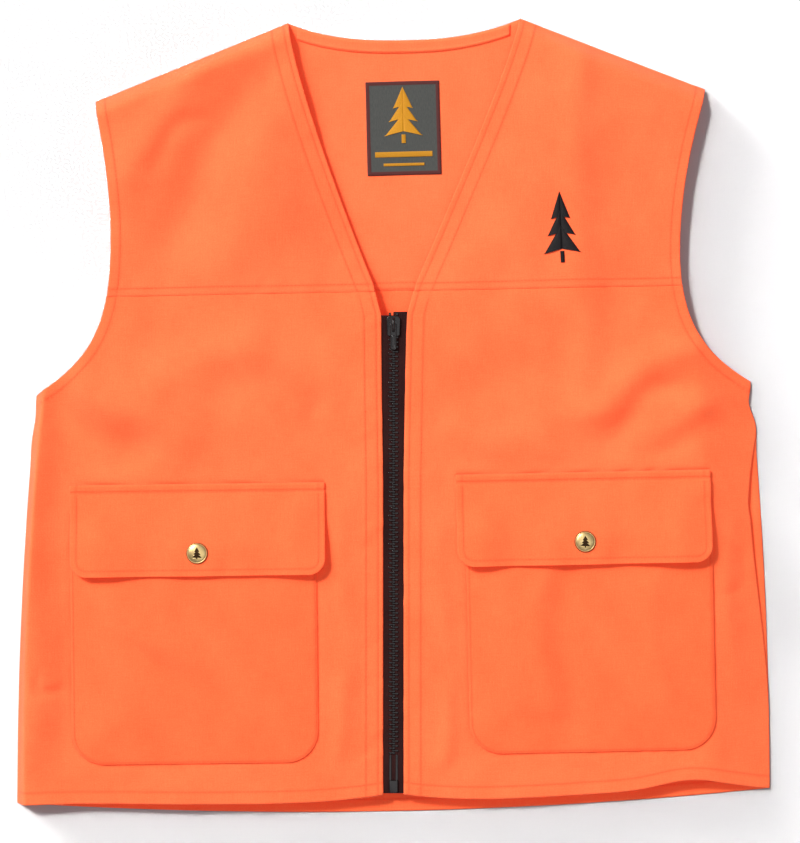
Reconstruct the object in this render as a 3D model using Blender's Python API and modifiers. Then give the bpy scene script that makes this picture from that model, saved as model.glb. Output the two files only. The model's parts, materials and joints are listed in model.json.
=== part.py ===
"""Blaze orange field vest: zip front, two snap-flap pockets, lying flat on its back.

Metres, +Z up. The vest lies on z = 0 with its neck towards +Y and the wearer's left at +X.
Left and right in the names are the wearer's. The cut is symmetric; laid() gives it the small
skew that the cloth takes as it lies.
"""

import math

import bmesh
import bpy
from mathutils import Matrix, Vector

MM = 0.001
GAP = 0.0003  # between pieces that touch

# the cut, half of it, as (x, y) from the zip's line
NECK = (0.0910, 0.3082)
SHOULDER = (0.2383, 0.2498)
ARMHOLE_WAIST = (0.2214, 0.1290)
UNDERARM = (0.2795, 0.0201)
HEM_CORNER = (0.2945, -0.2982)
BACK_NECK_Y = 0.2934
BACK_HEM_DROP = 0.0122
BACK_YOKE_SEAM_Y = 0.1000
FRONT_YOKE_SEAM_Y = 0.0970
V_CORNER = (0.0105, 0.0780)
V_LOW = (0.0170, 0.1020)
ZIP_EDGE_X = 0.0085  # fabric edge beside the zip
FRONT_HEM_Y = -0.2955
SKEW = 0.020  # rise of the left side as laid, per metre
LEAN = 0.087  # drift of the neck towards +X as laid, per square metre

# heights
CLOTH = 0.0010
FRONT_Z = 0.0140  # underside of the raised front
SEAM_Z = CLOTH + GAP  # underside of the front where it is sewn to the back
SIDE_SLOPE = 0.030
SHOULDER_SLOPE = 0.028
PANEL_TOP = FRONT_Z + CLOTH
GRID_OVER = 0.005  # how far the yoke's and panel's grids reach past their seam
GRID_PAST = 0.002  # how far a pocket's and a flap's grids reach past their outlines

# facings and neck band
FACING = 0.0008
FACING_Z = 0.0119
FACING_WIDTH = 0.0150
FACING_INSET = 0.0015
FACING_TOP_Y = 0.2720
NECK_BAND_WIDTH = 0.0085
NECK_BAND_HALF = 0.0830

# zip
ZIP_Z = 0.01335
TAPE = 0.0007
TAPE_INNER = 0.0037
TAPE_OUTER = 0.0170
TAPE_TOP_Y = 0.0800
TAPE_BOTTOM_Y = -0.2947
TOOTH_PITCH = 0.0037
TOOTH_WIDTH = 0.0015
TOOTH_REACH = 0.0011  # past the zip's line
BEAD_INNER = 0.0020
CHAIN_HALF = 0.0034
CHAIN_RISE = 0.0013  # half the height of the teeth
TEETH_START = {"right": 0.25, "left": 0.75}  # first tooth, in pitches above the row's foot
TEETH_BOTTOM_Y = -0.2645
SLIDER_Y = 0.0690
SLIDER_LENGTH = 0.0160
SLIDER_HALF = 0.0054
SLIDER_RISE = 0.0028
SLIDER_SHOULDER = 0.0030  # radius of the upper corners
SLIDER_TAIL = 0.0018  # radius of the lower corners
SLIDER_TAPER = 0.0004  # how much narrower its lower end is, on each side
CHANNEL_HALF = 0.00375
CHANNEL_RISE = 0.0016
SLOT_RISE = 0.00065
WEDGE_HALF = 0.00125
WEDGE_TIP_Y = 0.0014
WEDGE_LOW_Y = 0.0040
WEDGE_HIGH_Y = 0.0072
WEDGE_RISE = 0.0022
LOOP_RADIUS = 0.0018
LOOP_WIDTH = 0.0016
EYE_RADIUS = 0.0009
PULL_PIVOT_Y = SLIDER_Y + 0.0010
PULL_PIVOT_RISE = SLIDER_RISE + 0.00095
PULL_LENGTH = 0.0198
PULL_WIDTH = 0.0050
PULL_THICK = 0.0012
PULL_CORNER = 0.0015
PULL_HEAD = 0.0006  # above the pivot
WINDOW_WIDTH = 0.0026
WINDOW_LENGTH = 0.0024
BOX_LENGTH = 0.0100
BOX_RISE = 0.0022
PIN_INNER = 0.0016
PIN_THICK = 0.0020
PIN_LIFT = 0.0015  # floor of the channel in the box, above its foot
CHANNEL_DEPTH = 0.0060
CHANNEL_THICK = 0.0026
STOP_INSET = 0.0006  # top stops, below the tape's end

# pockets, in a frame at the middle of the flap's top edge, v up
PLACES = {"right": (-0.1527, -0.0541, 0.7), "left": (0.1474, -0.0450, 1.2)}  # x, y, degrees
POCKET_WIDTH = 0.1920
POCKET_SHIFT = 0.0038  # pocket's middle, outboard of the flap's
POCKET_MOUTH = 0.0220
POCKET_BOTTOM = 0.2180
POCKET_RADIUS = 0.0250
POCKET_SLOPE = 0.0120
BAG = 0.0008
BAG_FOOT_Z = PANEL_TOP + GAP
BAG_Z = 0.0195  # underside of the raised bag
FLAP_WIDTH = 0.1976
FLAP_HEIGHT = 0.0712
FLAP_RADIUS = 0.0126
FLAP_STITCH = 0.0063  # stitch line, and the hinge, below the top edge
FLAP_LAYER = 0.00065
FLAP_FOOT_Z = PANEL_TOP + GAP
FLAP_RISE = 0.0079
FLAP_RISE_REACH = 0.0360
FLAP_RISE_SCALE = 0.0120
FLAP_SEAM = 0.0012  # thickness of the sewn-down strip
LINING_INSET = 0.0008
FLAP_ROW = 0.0035  # first row of the flap's grid below the stitch line, each next one 1.2 times as far
SNAP_V = 0.0534
FLAP_HOLE = 0.0019
BAG_HOLE = 0.0016

# snap fasteners, in metres above z = 0, and radii
POST_Z = 0.0187
STUD_Z = 0.0206
SOCKET_Z = 0.0214
CAP_Z = 0.0251
CAP_TOP_Z = 0.0275
CAP_RADIUS = 0.0084
CAP_DROP = 0.0016  # of the dome, from its middle to its edge
CAP_SWEEP = 78  # degrees of the dome's arc
SHANK_RADIUS = 0.0015
SHANK_Z = 0.0229
SOCKET_RADIUS = 0.0062
SOCKET_HOLE = 0.0027
SOCKET_RISE = 0.0015
STUD_RADIUS = 0.0060
STUD_HEAD = 0.0023
STUD_NECK = 0.0016
STUD_TOP_Z = 0.0226
POST_RADIUS = 0.0050
POST_PIN = 0.0013
POST_TOP_Z = 0.0203
PLATE = 0.0005
SNAP_STEPS = 28

# trim
LABEL_SIZE = (0.0573, 0.0730)
LABEL_PLACE = (0.0078, 0.2246, 1.5)
EMBLEM_SIZE = (0.0290, 0.0557)
EMBLEM_PLACE = (0.1303, 0.1461, 3.0)
TRIM = 0.0006

parts = None
cutters = None


def clear_scene():
    for obj in list(bpy.data.objects):
        bpy.data.objects.remove(obj)


def collection(name):
    made = bpy.data.collections.new(name)
    bpy.context.scene.collection.children.link(made)
    return made


def linear(channel):
    """One 0 to 255 sRGB channel as linear light."""
    c = channel / 255
    return c / 12.92 if c <= 0.04045 else ((c + 0.055) / 1.055) ** 2.4


def material(name, rgb, roughness, metallic=0.0):
    made = bpy.data.materials.new(name)
    made.use_nodes = True
    shader = made.node_tree.nodes["Principled BSDF"]
    shader.inputs["Base Color"].default_value = (*map(linear, rgb), 1)
    shader.inputs["Roughness"].default_value = roughness
    shader.inputs["Metallic"].default_value = metallic
    return made


def add(name, mesh, rgb, roughness, metallic=0.0, parent=None):
    """A named sub-part from a mesh, with a material of its own."""
    obj = bpy.data.objects.new(name, mesh)
    parts.objects.link(obj)
    mesh.materials.clear()
    mesh.materials.append(material(name, rgb, roughness, metallic))
    obj.parent = parent
    return obj


def cutter(name, mesh, parent=None):
    obj = bpy.data.objects.new(name, mesh)
    cutters.objects.link(obj)
    obj.hide_render = True
    obj.display_type = "WIRE"
    obj.parent = parent
    return obj


def boolean(obj, tool, operation):
    modifier = obj.modifiers.new(f"{operation.lower()}_{tool.name}", "BOOLEAN")
    modifier.operation = operation
    modifier.object = tool
    return obj


def prism(points, low, high):
    """A flat outline, from z = low to z = high, as a closed mesh. The curve is in millimetres."""
    curve = bpy.data.curves.new("outline", "CURVE")
    curve.dimensions = "2D"
    curve.fill_mode = "BOTH"
    curve.extrude = (high - low) / 2 / MM
    spline = curve.splines.new("POLY")
    spline.points.add(len(points) - 1)
    for point, (x, y) in zip(spline.points, points):
        point.co = (x / MM, y / MM, 0, 1)
    spline.use_cyclic_u = True
    source = bpy.data.objects.new("outline", curve)
    bpy.context.scene.collection.objects.link(source)
    bpy.context.view_layer.update()
    evaluated = source.evaluated_get(bpy.context.evaluated_depsgraph_get())
    mesh = bpy.data.meshes.new_from_object(evaluated)
    mesh.transform(Matrix.Scale(MM, 4))
    bpy.data.objects.remove(source)
    bm = bmesh.new()
    bm.from_mesh(mesh)
    bmesh.ops.remove_doubles(bm, verts=bm.verts, dist=1e-6)
    bmesh.ops.recalc_face_normals(bm, faces=bm.faces)
    bmesh.ops.translate(bm, verts=bm.verts, vec=(0, 0, (low + high) / 2))
    bm.to_mesh(mesh)
    bm.free()
    return mesh


def block(size, centre):
    """A box of that size about that centre."""
    bm = bmesh.new()
    bmesh.ops.create_cube(bm, size=1, matrix=Matrix.Translation(centre) @ Matrix.Diagonal((*size, 1)))
    mesh = bpy.data.meshes.new("block")
    bm.to_mesh(mesh)
    bm.free()
    return mesh


def turned(name, profile, rgb, roughness, metallic, parent):
    """A profile of (radius, height) turned about Z. It runs down the outer side."""
    mesh = bpy.data.meshes.new(name)
    edges = [(i, i + 1) for i in range(len(profile) - 1)]
    if profile[0][0] > 0:
        edges.append((len(profile) - 1, 0))
    mesh.from_pydata([(r, 0, z) for r, z in profile], edges, [])
    obj = add(name, mesh, rgb, roughness, metallic, parent)
    screw = obj.modifiers.new("turn", "SCREW")
    screw.steps = SNAP_STEPS
    screw.render_steps = SNAP_STEPS
    screw.use_merge_vertices = True
    screw.merge_threshold = 0.00001
    screw.use_smooth_shade = True
    return obj


def bezier(a, b, c, d, steps):
    """Points along a cubic curve, its end left out."""
    made = []
    for i in range(steps):
        t = i / steps
        weights = ((1 - t) ** 3, 3 * t * (1 - t) ** 2, 3 * t * t * (1 - t), t**3)
        made.append(tuple(sum(w * p[k] for w, p in zip(weights, (a, b, c, d))) for k in (0, 1)))
    return made


def arc(centre, radius, start, end, steps):
    """Points on a circle from one angle to another, in degrees, both ends included."""
    made = []
    for i in range(steps + 1):
        angle = math.radians(start + (end - start) * i / steps)
        made.append((centre[0] + radius * math.cos(angle), centre[1] + radius * math.sin(angle)))
    return made


def laid(x, y):
    """Where a point of the cut lies."""
    return x + LEAN * max(y, 0) ** 2, y + SKEW * x


def lay(points, side):
    """An outline of the half cut on one side, laid. side is 1 for the wearer's left."""
    return [laid(side * x, y) for x, y in points]


def kept(points, edge_y, above):
    """The part of an outline above or below a level."""
    sign = 1 if above else -1
    made = []
    for (x0, y0), (x1, y1) in zip(points, points[1:] + points[:1]):
        inside0 = sign * (y0 - edge_y) >= 0
        inside1 = sign * (y1 - edge_y) >= 0
        if inside0:
            made.append((x0, y0))
        if inside0 != inside1:
            t = (edge_y - y0) / (y1 - y0)
            made.append((x0 + t * (x1 - x0), edge_y))
    return made


def offset(points, distance):
    """An open run of points, moved to its left by a distance."""
    made = []
    for i, (x, y) in enumerate(points):
        before = points[max(i - 1, 0)]
        after = points[min(i + 1, len(points) - 1)]
        along = Vector((after[0] - before[0], after[1] - before[1])).normalized()
        made.append((x - along.y * distance, y + along.x * distance))
    return made


def side_x(y):
    """Half width of the cut at a height, along the side seam."""
    t = (min(y, UNDERARM[1]) - HEM_CORNER[1]) / (UNDERARM[1] - HEM_CORNER[1])
    return HEM_CORNER[0] - (HEM_CORNER[0] - UNDERARM[0]) * max(t, 0) ** 2


def side_seam(steps=6):
    """From the hem's corner up to the underarm."""
    levels = [HEM_CORNER[1] + (UNDERARM[1] - HEM_CORNER[1]) * i / steps for i in range(steps)]
    return [(side_x(y), y) for y in levels]


def armhole():
    """From the underarm up to the shoulder."""
    low = bezier(UNDERARM, (0.2472, 0.0399), (0.2214, 0.0600), ARMHOLE_WAIST, 8)
    high = bezier(ARMHOLE_WAIST, (0.2214, 0.1740), (0.2277, 0.2060), SHOULDER, 6)
    return low + high + [SHOULDER]


def opening_edge():
    """The front's free edge: up beside the zip and along the V to the neck."""
    straight = [(ZIP_EDGE_X, FRONT_HEM_Y), (ZIP_EDGE_X, -0.0500), V_CORNER]
    return straight + bezier(V_LOW, (0.0419, 0.1620), (0.0850, 0.2680), NECK, 8) + [NECK]


def front_hem():
    """From the zip out to the side."""
    return bezier((ZIP_EDGE_X, FRONT_HEM_Y), (0.0800, -0.3090), (0.1900, -0.2990), HEM_CORNER, 8)


def front_outline():
    return front_hem() + side_seam() + armhole() + opening_edge()[:0:-1]


def back_half():
    """Right half of the back's edge, from the middle of the hem to the middle of the neck."""
    hem = []
    for i in range(8):
        x = HEM_CORNER[0] * i / 8
        hem.append((x, HEM_CORNER[1] - BACK_HEM_DROP * (1 - (x / HEM_CORNER[0]) ** 2)))
    return hem + side_seam() + armhole() + back_neck(0, NECK[0])[::-1]


def back_neck(start, end, steps=8):
    made = []
    for i in range(steps + 1):
        x = start + (end - start) * i / steps
        made.append((x, BACK_NECK_Y + (NECK[1] - BACK_NECK_Y) * abs(x / NECK[0]) ** 2.5))
    return made


def back_outline():
    half = back_half()
    return half + [(-x, y) for x, y in half[-2:0:-1]]


def rounded(t):
    """0 at a seam, rising to 1 as the cloth rounds over."""
    return math.sin(math.pi / 2 * max(0.0, min(t, 1.0)))


def front_height(x, y):
    """Underside of the front above a point of the half cut: low at the side and shoulder seams."""
    along = Vector((SHOULDER[0] - NECK[0], SHOULDER[1] - NECK[1])).normalized()
    to_shoulder = (NECK[1] - y) * along.x - (NECK[0] - x) * along.y
    side = rounded((side_x(y) - x) / SIDE_SLOPE)
    return SEAM_Z + (FRONT_Z - SEAM_Z) * side * rounded(to_shoulder / SHOULDER_SLOPE)


def spaced(low, high, count, power=1.0):
    """count + 1 places from low to high, closer together near high when power is over 1."""
    return [high - (high - low) * (1 - i / count) ** power for i in range(count + 1)]


def both_ends(half, fine, fine_count, coarse_count):
    """Places from -half to half, close together within fine of each end."""
    edge = [-half + fine * i / fine_count for i in range(fine_count)]
    middle = [-half + fine + 2 * (half - fine) * i / coarse_count for i in range(coarse_count)]
    return edge + middle + [half - fine * i / fine_count for i in range(fine_count, -1, -1)]


def surface(columns, rows, place):
    """An open grid whose points are put by place(column, row), normals up."""
    bm = bmesh.new()
    bmesh.ops.create_grid(bm, x_segments=len(columns) - 1, y_segments=len(rows) - 1, size=1)
    for vert in bm.verts:
        i = round((vert.co.x + 1) / 2 * (len(columns) - 1))
        j = round((vert.co.y + 1) / 2 * (len(rows) - 1))
        vert.co = place(columns[i], rows[j])
    bmesh.ops.recalc_face_normals(bm, faces=bm.faces)
    if sum(face.normal.z for face in bm.faces) < 0:
        bmesh.ops.reverse_faces(bm, faces=bm.faces)
    mesh = bpy.data.meshes.new("surface")
    bm.to_mesh(mesh)
    bm.free()
    return mesh


def cloth(name, mesh, thickness, outline, rgb, parent=None):
    """An open surface given its thickness upwards, and trimmed to an outline."""
    obj = add(name, mesh, rgb, 0.85, parent=parent)
    solidify = obj.modifiers.new("thickness", "SOLIDIFY")
    solidify.thickness = thickness
    solidify.offset = 1
    trim = cutter(f"{name}_trim", prism(outline, -0.02, 0.08), parent)
    return boolean(obj, trim, "INTERSECT")


def flat(name, points, low, thickness, rgb, roughness=0.85, parent=None):
    return add(name, prism(points, low, low + thickness), rgb, roughness, parent=parent)


ORANGE = (245, 131, 80)
YOKE_ORANGE = (244, 126, 74)
POCKET_ORANGE = (243, 121, 70)
INSIDE_ORANGE = (240, 118, 68)
TAPE_BLACK = (62, 38, 38)
PLASTIC_BLACK = (28, 26, 28)
BRASS = (122, 96, 62)
SLATE = (82, 88, 94)
SIDES = {"right": -1, "left": 1}


def backs():
    outline = back_outline()
    lower = kept(outline, BACK_YOKE_SEAM_Y - GAP / 2, False)
    upper = kept(outline, BACK_YOKE_SEAM_Y + GAP / 2, True)
    flat("back_panel", [laid(*p) for p in lower], 0, CLOTH, ORANGE)
    flat("back_yoke", [laid(*p) for p in upper], 0, CLOTH, INSIDE_ORANGE)
    top = back_neck(NECK_BAND_HALF, -NECK_BAND_HALF, 16)
    bottom = [(x, y - NECK_BAND_WIDTH) for x, y in top[::-1]]
    band = [laid(x, y - FACING_INSET) for x, y in top + bottom]
    flat("back_neck_facing", band, CLOTH + GAP, FACING, INSIDE_ORANGE)


def fronts(name, side):
    def place(x, y):
        return (*laid(side * x, y), front_height(x, y))

    outline = front_outline()
    lower = kept(outline, FRONT_YOKE_SEAM_Y - GAP / 2, False)
    upper = kept(outline, FRONT_YOKE_SEAM_Y + GAP / 2, True)
    columns = spaced(0.0, HEM_CORNER[0] + GRID_OVER, 13, 1.7)
    rows = spaced(HEM_CORNER[1] - 4 * GRID_OVER, FRONT_YOKE_SEAM_Y + GRID_OVER, 10)
    panel = surface(columns, rows, place)
    cloth(f"front_panel_{name}", panel, CLOTH, lay(lower, side), ORANGE)
    columns = spaced(0.0, SHOULDER[0] + 4 * GRID_OVER, 13)
    rows = spaced(FRONT_YOKE_SEAM_Y - GRID_OVER, NECK[1] + 3 * GRID_OVER, 15, 1.3)
    yoke = surface(columns, rows, place)
    cloth(f"front_yoke_{name}", yoke, CLOTH, lay(upper, side), YOKE_ORANGE)
    edge = kept(offset(opening_edge(), -FACING_INSET), FACING_TOP_Y, False)
    inner = offset(edge, -FACING_WIDTH)
    facing = lay(edge + inner[::-1], side)
    flat(f"front_facing_{name}", facing, FACING_Z, FACING, INSIDE_ORANGE)


def zip_side(name, side):
    """A tape, its row of teeth and its top stop."""
    low, high = TAPE_BOTTOM_Y, TAPE_TOP_Y
    tape = [(TAPE_INNER, low), (TAPE_OUTER, low), (TAPE_OUTER, high), (TAPE_INNER, high)]
    tape = [(side * x, y) for x, y in tape]
    flat(f"zip_tape_{name}", tape, ZIP_Z - TAPE / 2, TAPE, TAPE_BLACK)
    top = SLIDER_Y
    size = (CHAIN_HALF - BEAD_INNER, top - TEETH_BOTTOM_Y, 2 * CHAIN_RISE)
    centre = (side * (CHAIN_HALF + BEAD_INNER) / 2, (top + TEETH_BOTTOM_Y) / 2, ZIP_Z)
    row = add(f"zip_teeth_{name}", block(size, centre), PLASTIC_BLACK, 0.35)
    reach = (BEAD_INNER + CHAIN_HALF) / 2 + TOOTH_REACH
    first = TEETH_BOTTOM_Y + TEETH_START[name] * TOOTH_PITCH
    centre = (side * (reach / 2 - TOOTH_REACH), first, ZIP_Z)
    tooth_height = 2 * CHAIN_RISE - GAP / 3
    tooth = cutter(f"tooth_{name}", block((reach, TOOTH_WIDTH, tooth_height), centre))
    copies = tooth.modifiers.new("row", "ARRAY")
    copies.count = int((top - TEETH_BOTTOM_Y) / TOOTH_PITCH)
    copies.use_relative_offset = False
    copies.use_constant_offset = True
    copies.constant_offset_displace = (0, TOOTH_PITCH, 0)
    boolean(row, tooth, "UNION")
    stop_low = SLIDER_Y + SLIDER_LENGTH / 2 + GAP
    size = (CHAIN_HALF - BEAD_INNER, TAPE_TOP_Y - STOP_INSET - stop_low, 2 * CHAIN_RISE)
    centre = (side * (CHAIN_HALF + BEAD_INNER) / 2, stop_low + size[1] / 2, ZIP_Z)
    add(f"zip_top_stop_{name}", block(size, centre), PLASTIC_BLACK, 0.35)


def zip_end():
    """The box with its fixed post on the wearer's right, and the pin on the left."""
    low = TAPE_BOTTOM_Y
    top = TEETH_BOTTOM_Y - GAP
    floor = low + PIN_LIFT
    size = (2 * CHAIN_HALF, BOX_LENGTH, 2 * BOX_RISE)
    box = add("zip_box", block(size, (0, low + BOX_LENGTH / 2, ZIP_Z)), PLASTIC_BLACK, 0.35)
    length = top - floor
    size = (CHAIN_HALF - PIN_INNER, length, PIN_THICK)
    centre = (-(CHAIN_HALF + PIN_INNER) / 2, top - length / 2, ZIP_Z)
    boolean(box, cutter("zip_box_post", block(size, centre)), "UNION")
    size = (CHANNEL_DEPTH, BOX_LENGTH, CHANNEL_THICK)
    centre = (PIN_INNER - GAP + CHANNEL_DEPTH / 2, floor + BOX_LENGTH / 2, ZIP_Z)
    boolean(box, cutter("zip_box_channel", block(size, centre)), "DIFFERENCE")
    length = top - floor - GAP
    size = (CHAIN_HALF - PIN_INNER, length, PIN_THICK)
    centre = ((CHAIN_HALF + PIN_INNER) / 2, top - length / 2, ZIP_Z)
    add("zip_pin", block(size, centre), PLASTIC_BLACK, 0.35)


def across_rod(radius, width, turn):
    """A round rod along X, placed by a matrix."""
    bm = bmesh.new()
    bmesh.ops.create_cone(
        bm, cap_ends=True, segments=24, radius1=radius, radius2=radius, depth=width, matrix=turn
    )
    mesh = bpy.data.meshes.new("rod")
    bm.to_mesh(mesh)
    bm.free()
    return mesh


def slider():
    """Two plates joined by a wedge, with flanges that hold the teeth and a loop for the pull."""
    half, length = SLIDER_HALF, SLIDER_LENGTH
    centre = (half - SLIDER_SHOULDER, length / 2 - SLIDER_SHOULDER)
    plan = arc(centre, SLIDER_SHOULDER, 0, 90, 4)
    plan += [(-x, y) for x, y in plan[::-1]]
    centre = (half - SLIDER_TAPER - SLIDER_TAIL, -length / 2 + SLIDER_TAIL)
    tail = arc(centre, SLIDER_TAIL, 270, 360, 4)
    plan += [(-x, y) for x, y in tail[::-1]]
    plan += tail
    body = add("zip_slider", prism(plan, -SLIDER_RISE, SLIDER_RISE), PLASTIC_BLACK, 0.4)
    body.location = (0, SLIDER_Y, ZIP_Z)
    channel = block((2 * CHANNEL_HALF, 2 * length, 2 * CHANNEL_RISE), (0, 0, 0))
    boolean(body, cutter("slider_channel", channel, body), "DIFFERENCE")
    slot = block((4 * half, 2 * length, 2 * SLOT_RISE), (0, 0, 0))
    boolean(body, cutter("slider_slot", slot, body), "DIFFERENCE")
    right_side = [(WEDGE_HALF, WEDGE_LOW_Y), (WEDGE_HALF, WEDGE_HIGH_Y)]
    left_side = [(-x, y) for x, y in right_side[::-1]]
    wedge = prism([(0, WEDGE_TIP_Y), *right_side, *left_side], -WEDGE_RISE, WEDGE_RISE)
    boolean(body, cutter("slider_wedge", wedge, body), "UNION")
    pivot = Matrix.Translation((0, PULL_PIVOT_Y - SLIDER_Y, PULL_PIVOT_RISE))
    turn = pivot @ Matrix.Rotation(math.pi / 2, 4, "Y")
    loop = across_rod(LOOP_RADIUS, LOOP_WIDTH, turn)
    boolean(body, cutter("slider_loop", loop, body), "UNION")
    eye = across_rod(EYE_RADIUS, 4 * LOOP_WIDTH, turn)
    boolean(body, cutter("slider_eye", eye, body), "DIFFERENCE")


def pull():
    """The tab, with its crossbar on the pivot, lying towards the hem."""
    pivot = bpy.data.objects.new("pull_pivot", None)
    parts.objects.link(pivot)
    pivot.location = (0, PULL_PIVOT_Y, ZIP_Z + PULL_PIVOT_RISE)
    half, end = PULL_WIDTH / 2, -PULL_LENGTH
    corner = arc((half - PULL_CORNER, end + PULL_CORNER), PULL_CORNER, 270, 360, 4)
    plan = [(half, PULL_HEAD), (-half, PULL_HEAD)]
    plan += [(-x, y) for x, y in corner[::-1]]
    plan += corner
    tab = add("zip_pull", prism(plan, -PULL_THICK / 2, PULL_THICK / 2), PLASTIC_BLACK, 0.45, parent=pivot)
    centre = (0, -PULL_HEAD - WINDOW_LENGTH / 2, 0)
    window = block((WINDOW_WIDTH, WINDOW_LENGTH, 4 * PULL_THICK), centre)
    boolean(tab, cutter("pull_window", window, pivot), "DIFFERENCE")


def pocket_outline(shift):
    half, radius = POCKET_WIDTH / 2, POCKET_RADIUS
    low = -POCKET_BOTTOM
    plan = [(half, -POCKET_MOUTH), (-half, -POCKET_MOUTH)]
    plan += arc((-half + radius, low + radius), radius, 180, 270, 8)
    plan += arc((half - radius, low + radius), radius, 270, 360, 8)
    return [(x + shift, y) for x, y in plan]


def bag_height(u, v):
    """Underside of the pocket bag, low along its sewn sides and bottom."""
    across = abs(u) - (POCKET_WIDTH / 2 - POCKET_RADIUS)
    down = -v - (POCKET_BOTTOM - POCKET_RADIUS)
    outside = math.hypot(max(across, 0), max(down, 0))
    inside = min(max(across, down), 0)
    to_edge = POCKET_RADIUS - outside - inside
    return BAG_FOOT_Z + (BAG_Z - BAG_FOOT_Z) * rounded(to_edge / POCKET_SLOPE)


def pocket(name, side, place):
    shift = side * POCKET_SHIFT

    def put(u, v):
        return (u + shift, v, bag_height(u, v))

    slope = POCKET_SLOPE + GRID_PAST
    columns = both_ends(POCKET_WIDTH / 2 + GRID_PAST, slope, 3, 5)
    inner = POCKET_BOTTOM - POCKET_SLOPE
    rows = [-POCKET_BOTTOM - GRID_PAST + i * slope / 3 for i in range(3)]
    rows += [-inner + i * (inner - POCKET_MOUTH + GRID_PAST) / 6 for i in range(7)]
    bag = surface(columns, rows, put)
    return cloth(f"pocket_{name}", bag, BAG, pocket_outline(shift), POCKET_ORANGE, place)


def flap_height(u, v):
    """Underside of the flap's lining: sewn down at the top, raised over the bag and the snap."""
    down = max(0.0, -v - FLAP_STITCH)
    full = 1 - math.exp(-FLAP_RISE_REACH / FLAP_RISE_SCALE)
    return FLAP_FOOT_Z + FLAP_RISE * min(1.0, (1 - math.exp(-down / FLAP_RISE_SCALE)) / full)


def flap_outline(inset):
    half, low, radius = FLAP_WIDTH / 2 - inset, -FLAP_HEIGHT + inset, FLAP_RADIUS - inset
    plan = [(half, -FLAP_STITCH), (-half, -FLAP_STITCH)]
    plan += arc((-half + radius, low + radius), radius, 180, 270, 6)
    return plan + arc((half - radius, low + radius), radius, 270, 360, 6)


def flap(name, place):
    """Outer cloth, lining and sewn-down top edge. The two that move turn about the stitch line."""
    hinge = bpy.data.objects.new(f"flap_{name}_hinge", None)
    parts.objects.link(hinge)
    hinge.parent = place
    thickness = 2 * FLAP_LAYER + GAP
    hinge.location = (0, -FLAP_STITCH, FLAP_FOOT_Z + thickness)
    back = Matrix.Translation(-hinge.location)
    edge = FLAP_STITCH - GAP
    corner = FLAP_WIDTH / 2
    strip = [(corner, 0), (-corner, 0), (-corner, -edge), (corner, -edge)]
    flat(f"flap_seam_{name}", strip, FLAP_FOOT_Z, FLAP_SEAM, POCKET_ORANGE, parent=place)
    hole = cutter(f"flap_hole_{name}", turned_hole(FLAP_HOLE), hinge)
    hole.matrix_local = back @ Matrix.Translation((0, -SNAP_V, 0))
    columns = spaced(-corner - GRID_PAST, corner + GRID_PAST, 4)
    rows = [-FLAP_STITCH + GRID_PAST / 2, -FLAP_STITCH]
    for i in range(7):
        rows.append(rows[-1] - FLAP_ROW * 1.2**i)
    rows = [-FLAP_HEIGHT - GRID_PAST, *rows[::-1]]
    layers = {f"flap_lining_{name}": (0, LINING_INSET), f"flap_{name}": (FLAP_LAYER + GAP, 0)}
    for node, (level, inset) in layers.items():

        def put(u, v, level=level):
            return (u, v, flap_height(u, v) + level)

        outline = flap_outline(inset)
        obj = cloth(node, surface(columns, rows, put), FLAP_LAYER, outline, POCKET_ORANGE, hinge)
        obj.data.transform(back)
        obj.modifiers[-1].object.data.transform(back)
        boolean(obj, hole, "DIFFERENCE")
    return hinge


def turned_hole(radius):
    bm = bmesh.new()
    bmesh.ops.create_cone(bm, cap_ends=True, segments=16, radius1=radius, radius2=radius, depth=0.2)
    mesh = bpy.data.meshes.new("hole")
    bm.to_mesh(mesh)
    bm.free()
    return mesh


def snap(name, place, hinge):
    """Cap and socket on the flap, stud and post on the pocket."""
    sweep = math.radians(CAP_SWEEP)
    cap = [(0, CAP_TOP_Z)]
    for i in range(1, 7):
        angle = sweep * i / 6
        reach = CAP_RADIUS * math.sin(angle) / math.sin(sweep)
        drop = CAP_DROP * (1 - math.cos(angle)) / (1 - math.cos(sweep))
        cap.append((reach, CAP_TOP_Z - drop))
    cap += [(CAP_RADIUS, CAP_Z), (SHANK_RADIUS, CAP_Z), (SHANK_RADIUS, SHANK_Z), (0, SHANK_Z)]
    crest = SOCKET_Z + SOCKET_RISE
    socket = [(SOCKET_RADIUS, crest), (SOCKET_RADIUS, SOCKET_Z)]
    socket += [(SOCKET_HOLE, SOCKET_Z), (SOCKET_HOLE, crest)]
    plate = STUD_Z + PLATE
    stud = [(0, STUD_TOP_Z), (STUD_NECK, STUD_TOP_Z)]
    stud += [(STUD_HEAD, STUD_TOP_Z - 0.0004), (STUD_HEAD, STUD_TOP_Z - 0.0008)]
    stud += [(STUD_NECK, STUD_TOP_Z - 0.0012), (STUD_NECK, plate)]
    stud += [(STUD_RADIUS, plate), (STUD_RADIUS, STUD_Z), (0, STUD_Z)]
    plate = POST_Z + PLATE
    post = [(0, POST_TOP_Z), (POST_PIN, POST_TOP_Z), (POST_PIN, plate)]
    post += [(POST_RADIUS, plate), (POST_RADIUS, POST_Z), (0, POST_Z)]
    moving = {"cap": cap, "socket": socket}
    for node, profile in {**moving, "stud": stud, "post": post}.items():
        parent = hinge if node in moving else place
        obj = turned(f"snap_{node}_{name}", profile, BRASS, 0.4, 1.0, parent)
        obj.location = (0, -SNAP_V, 0)
        if parent is hinge:
            obj.location -= hinge.location


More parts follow.
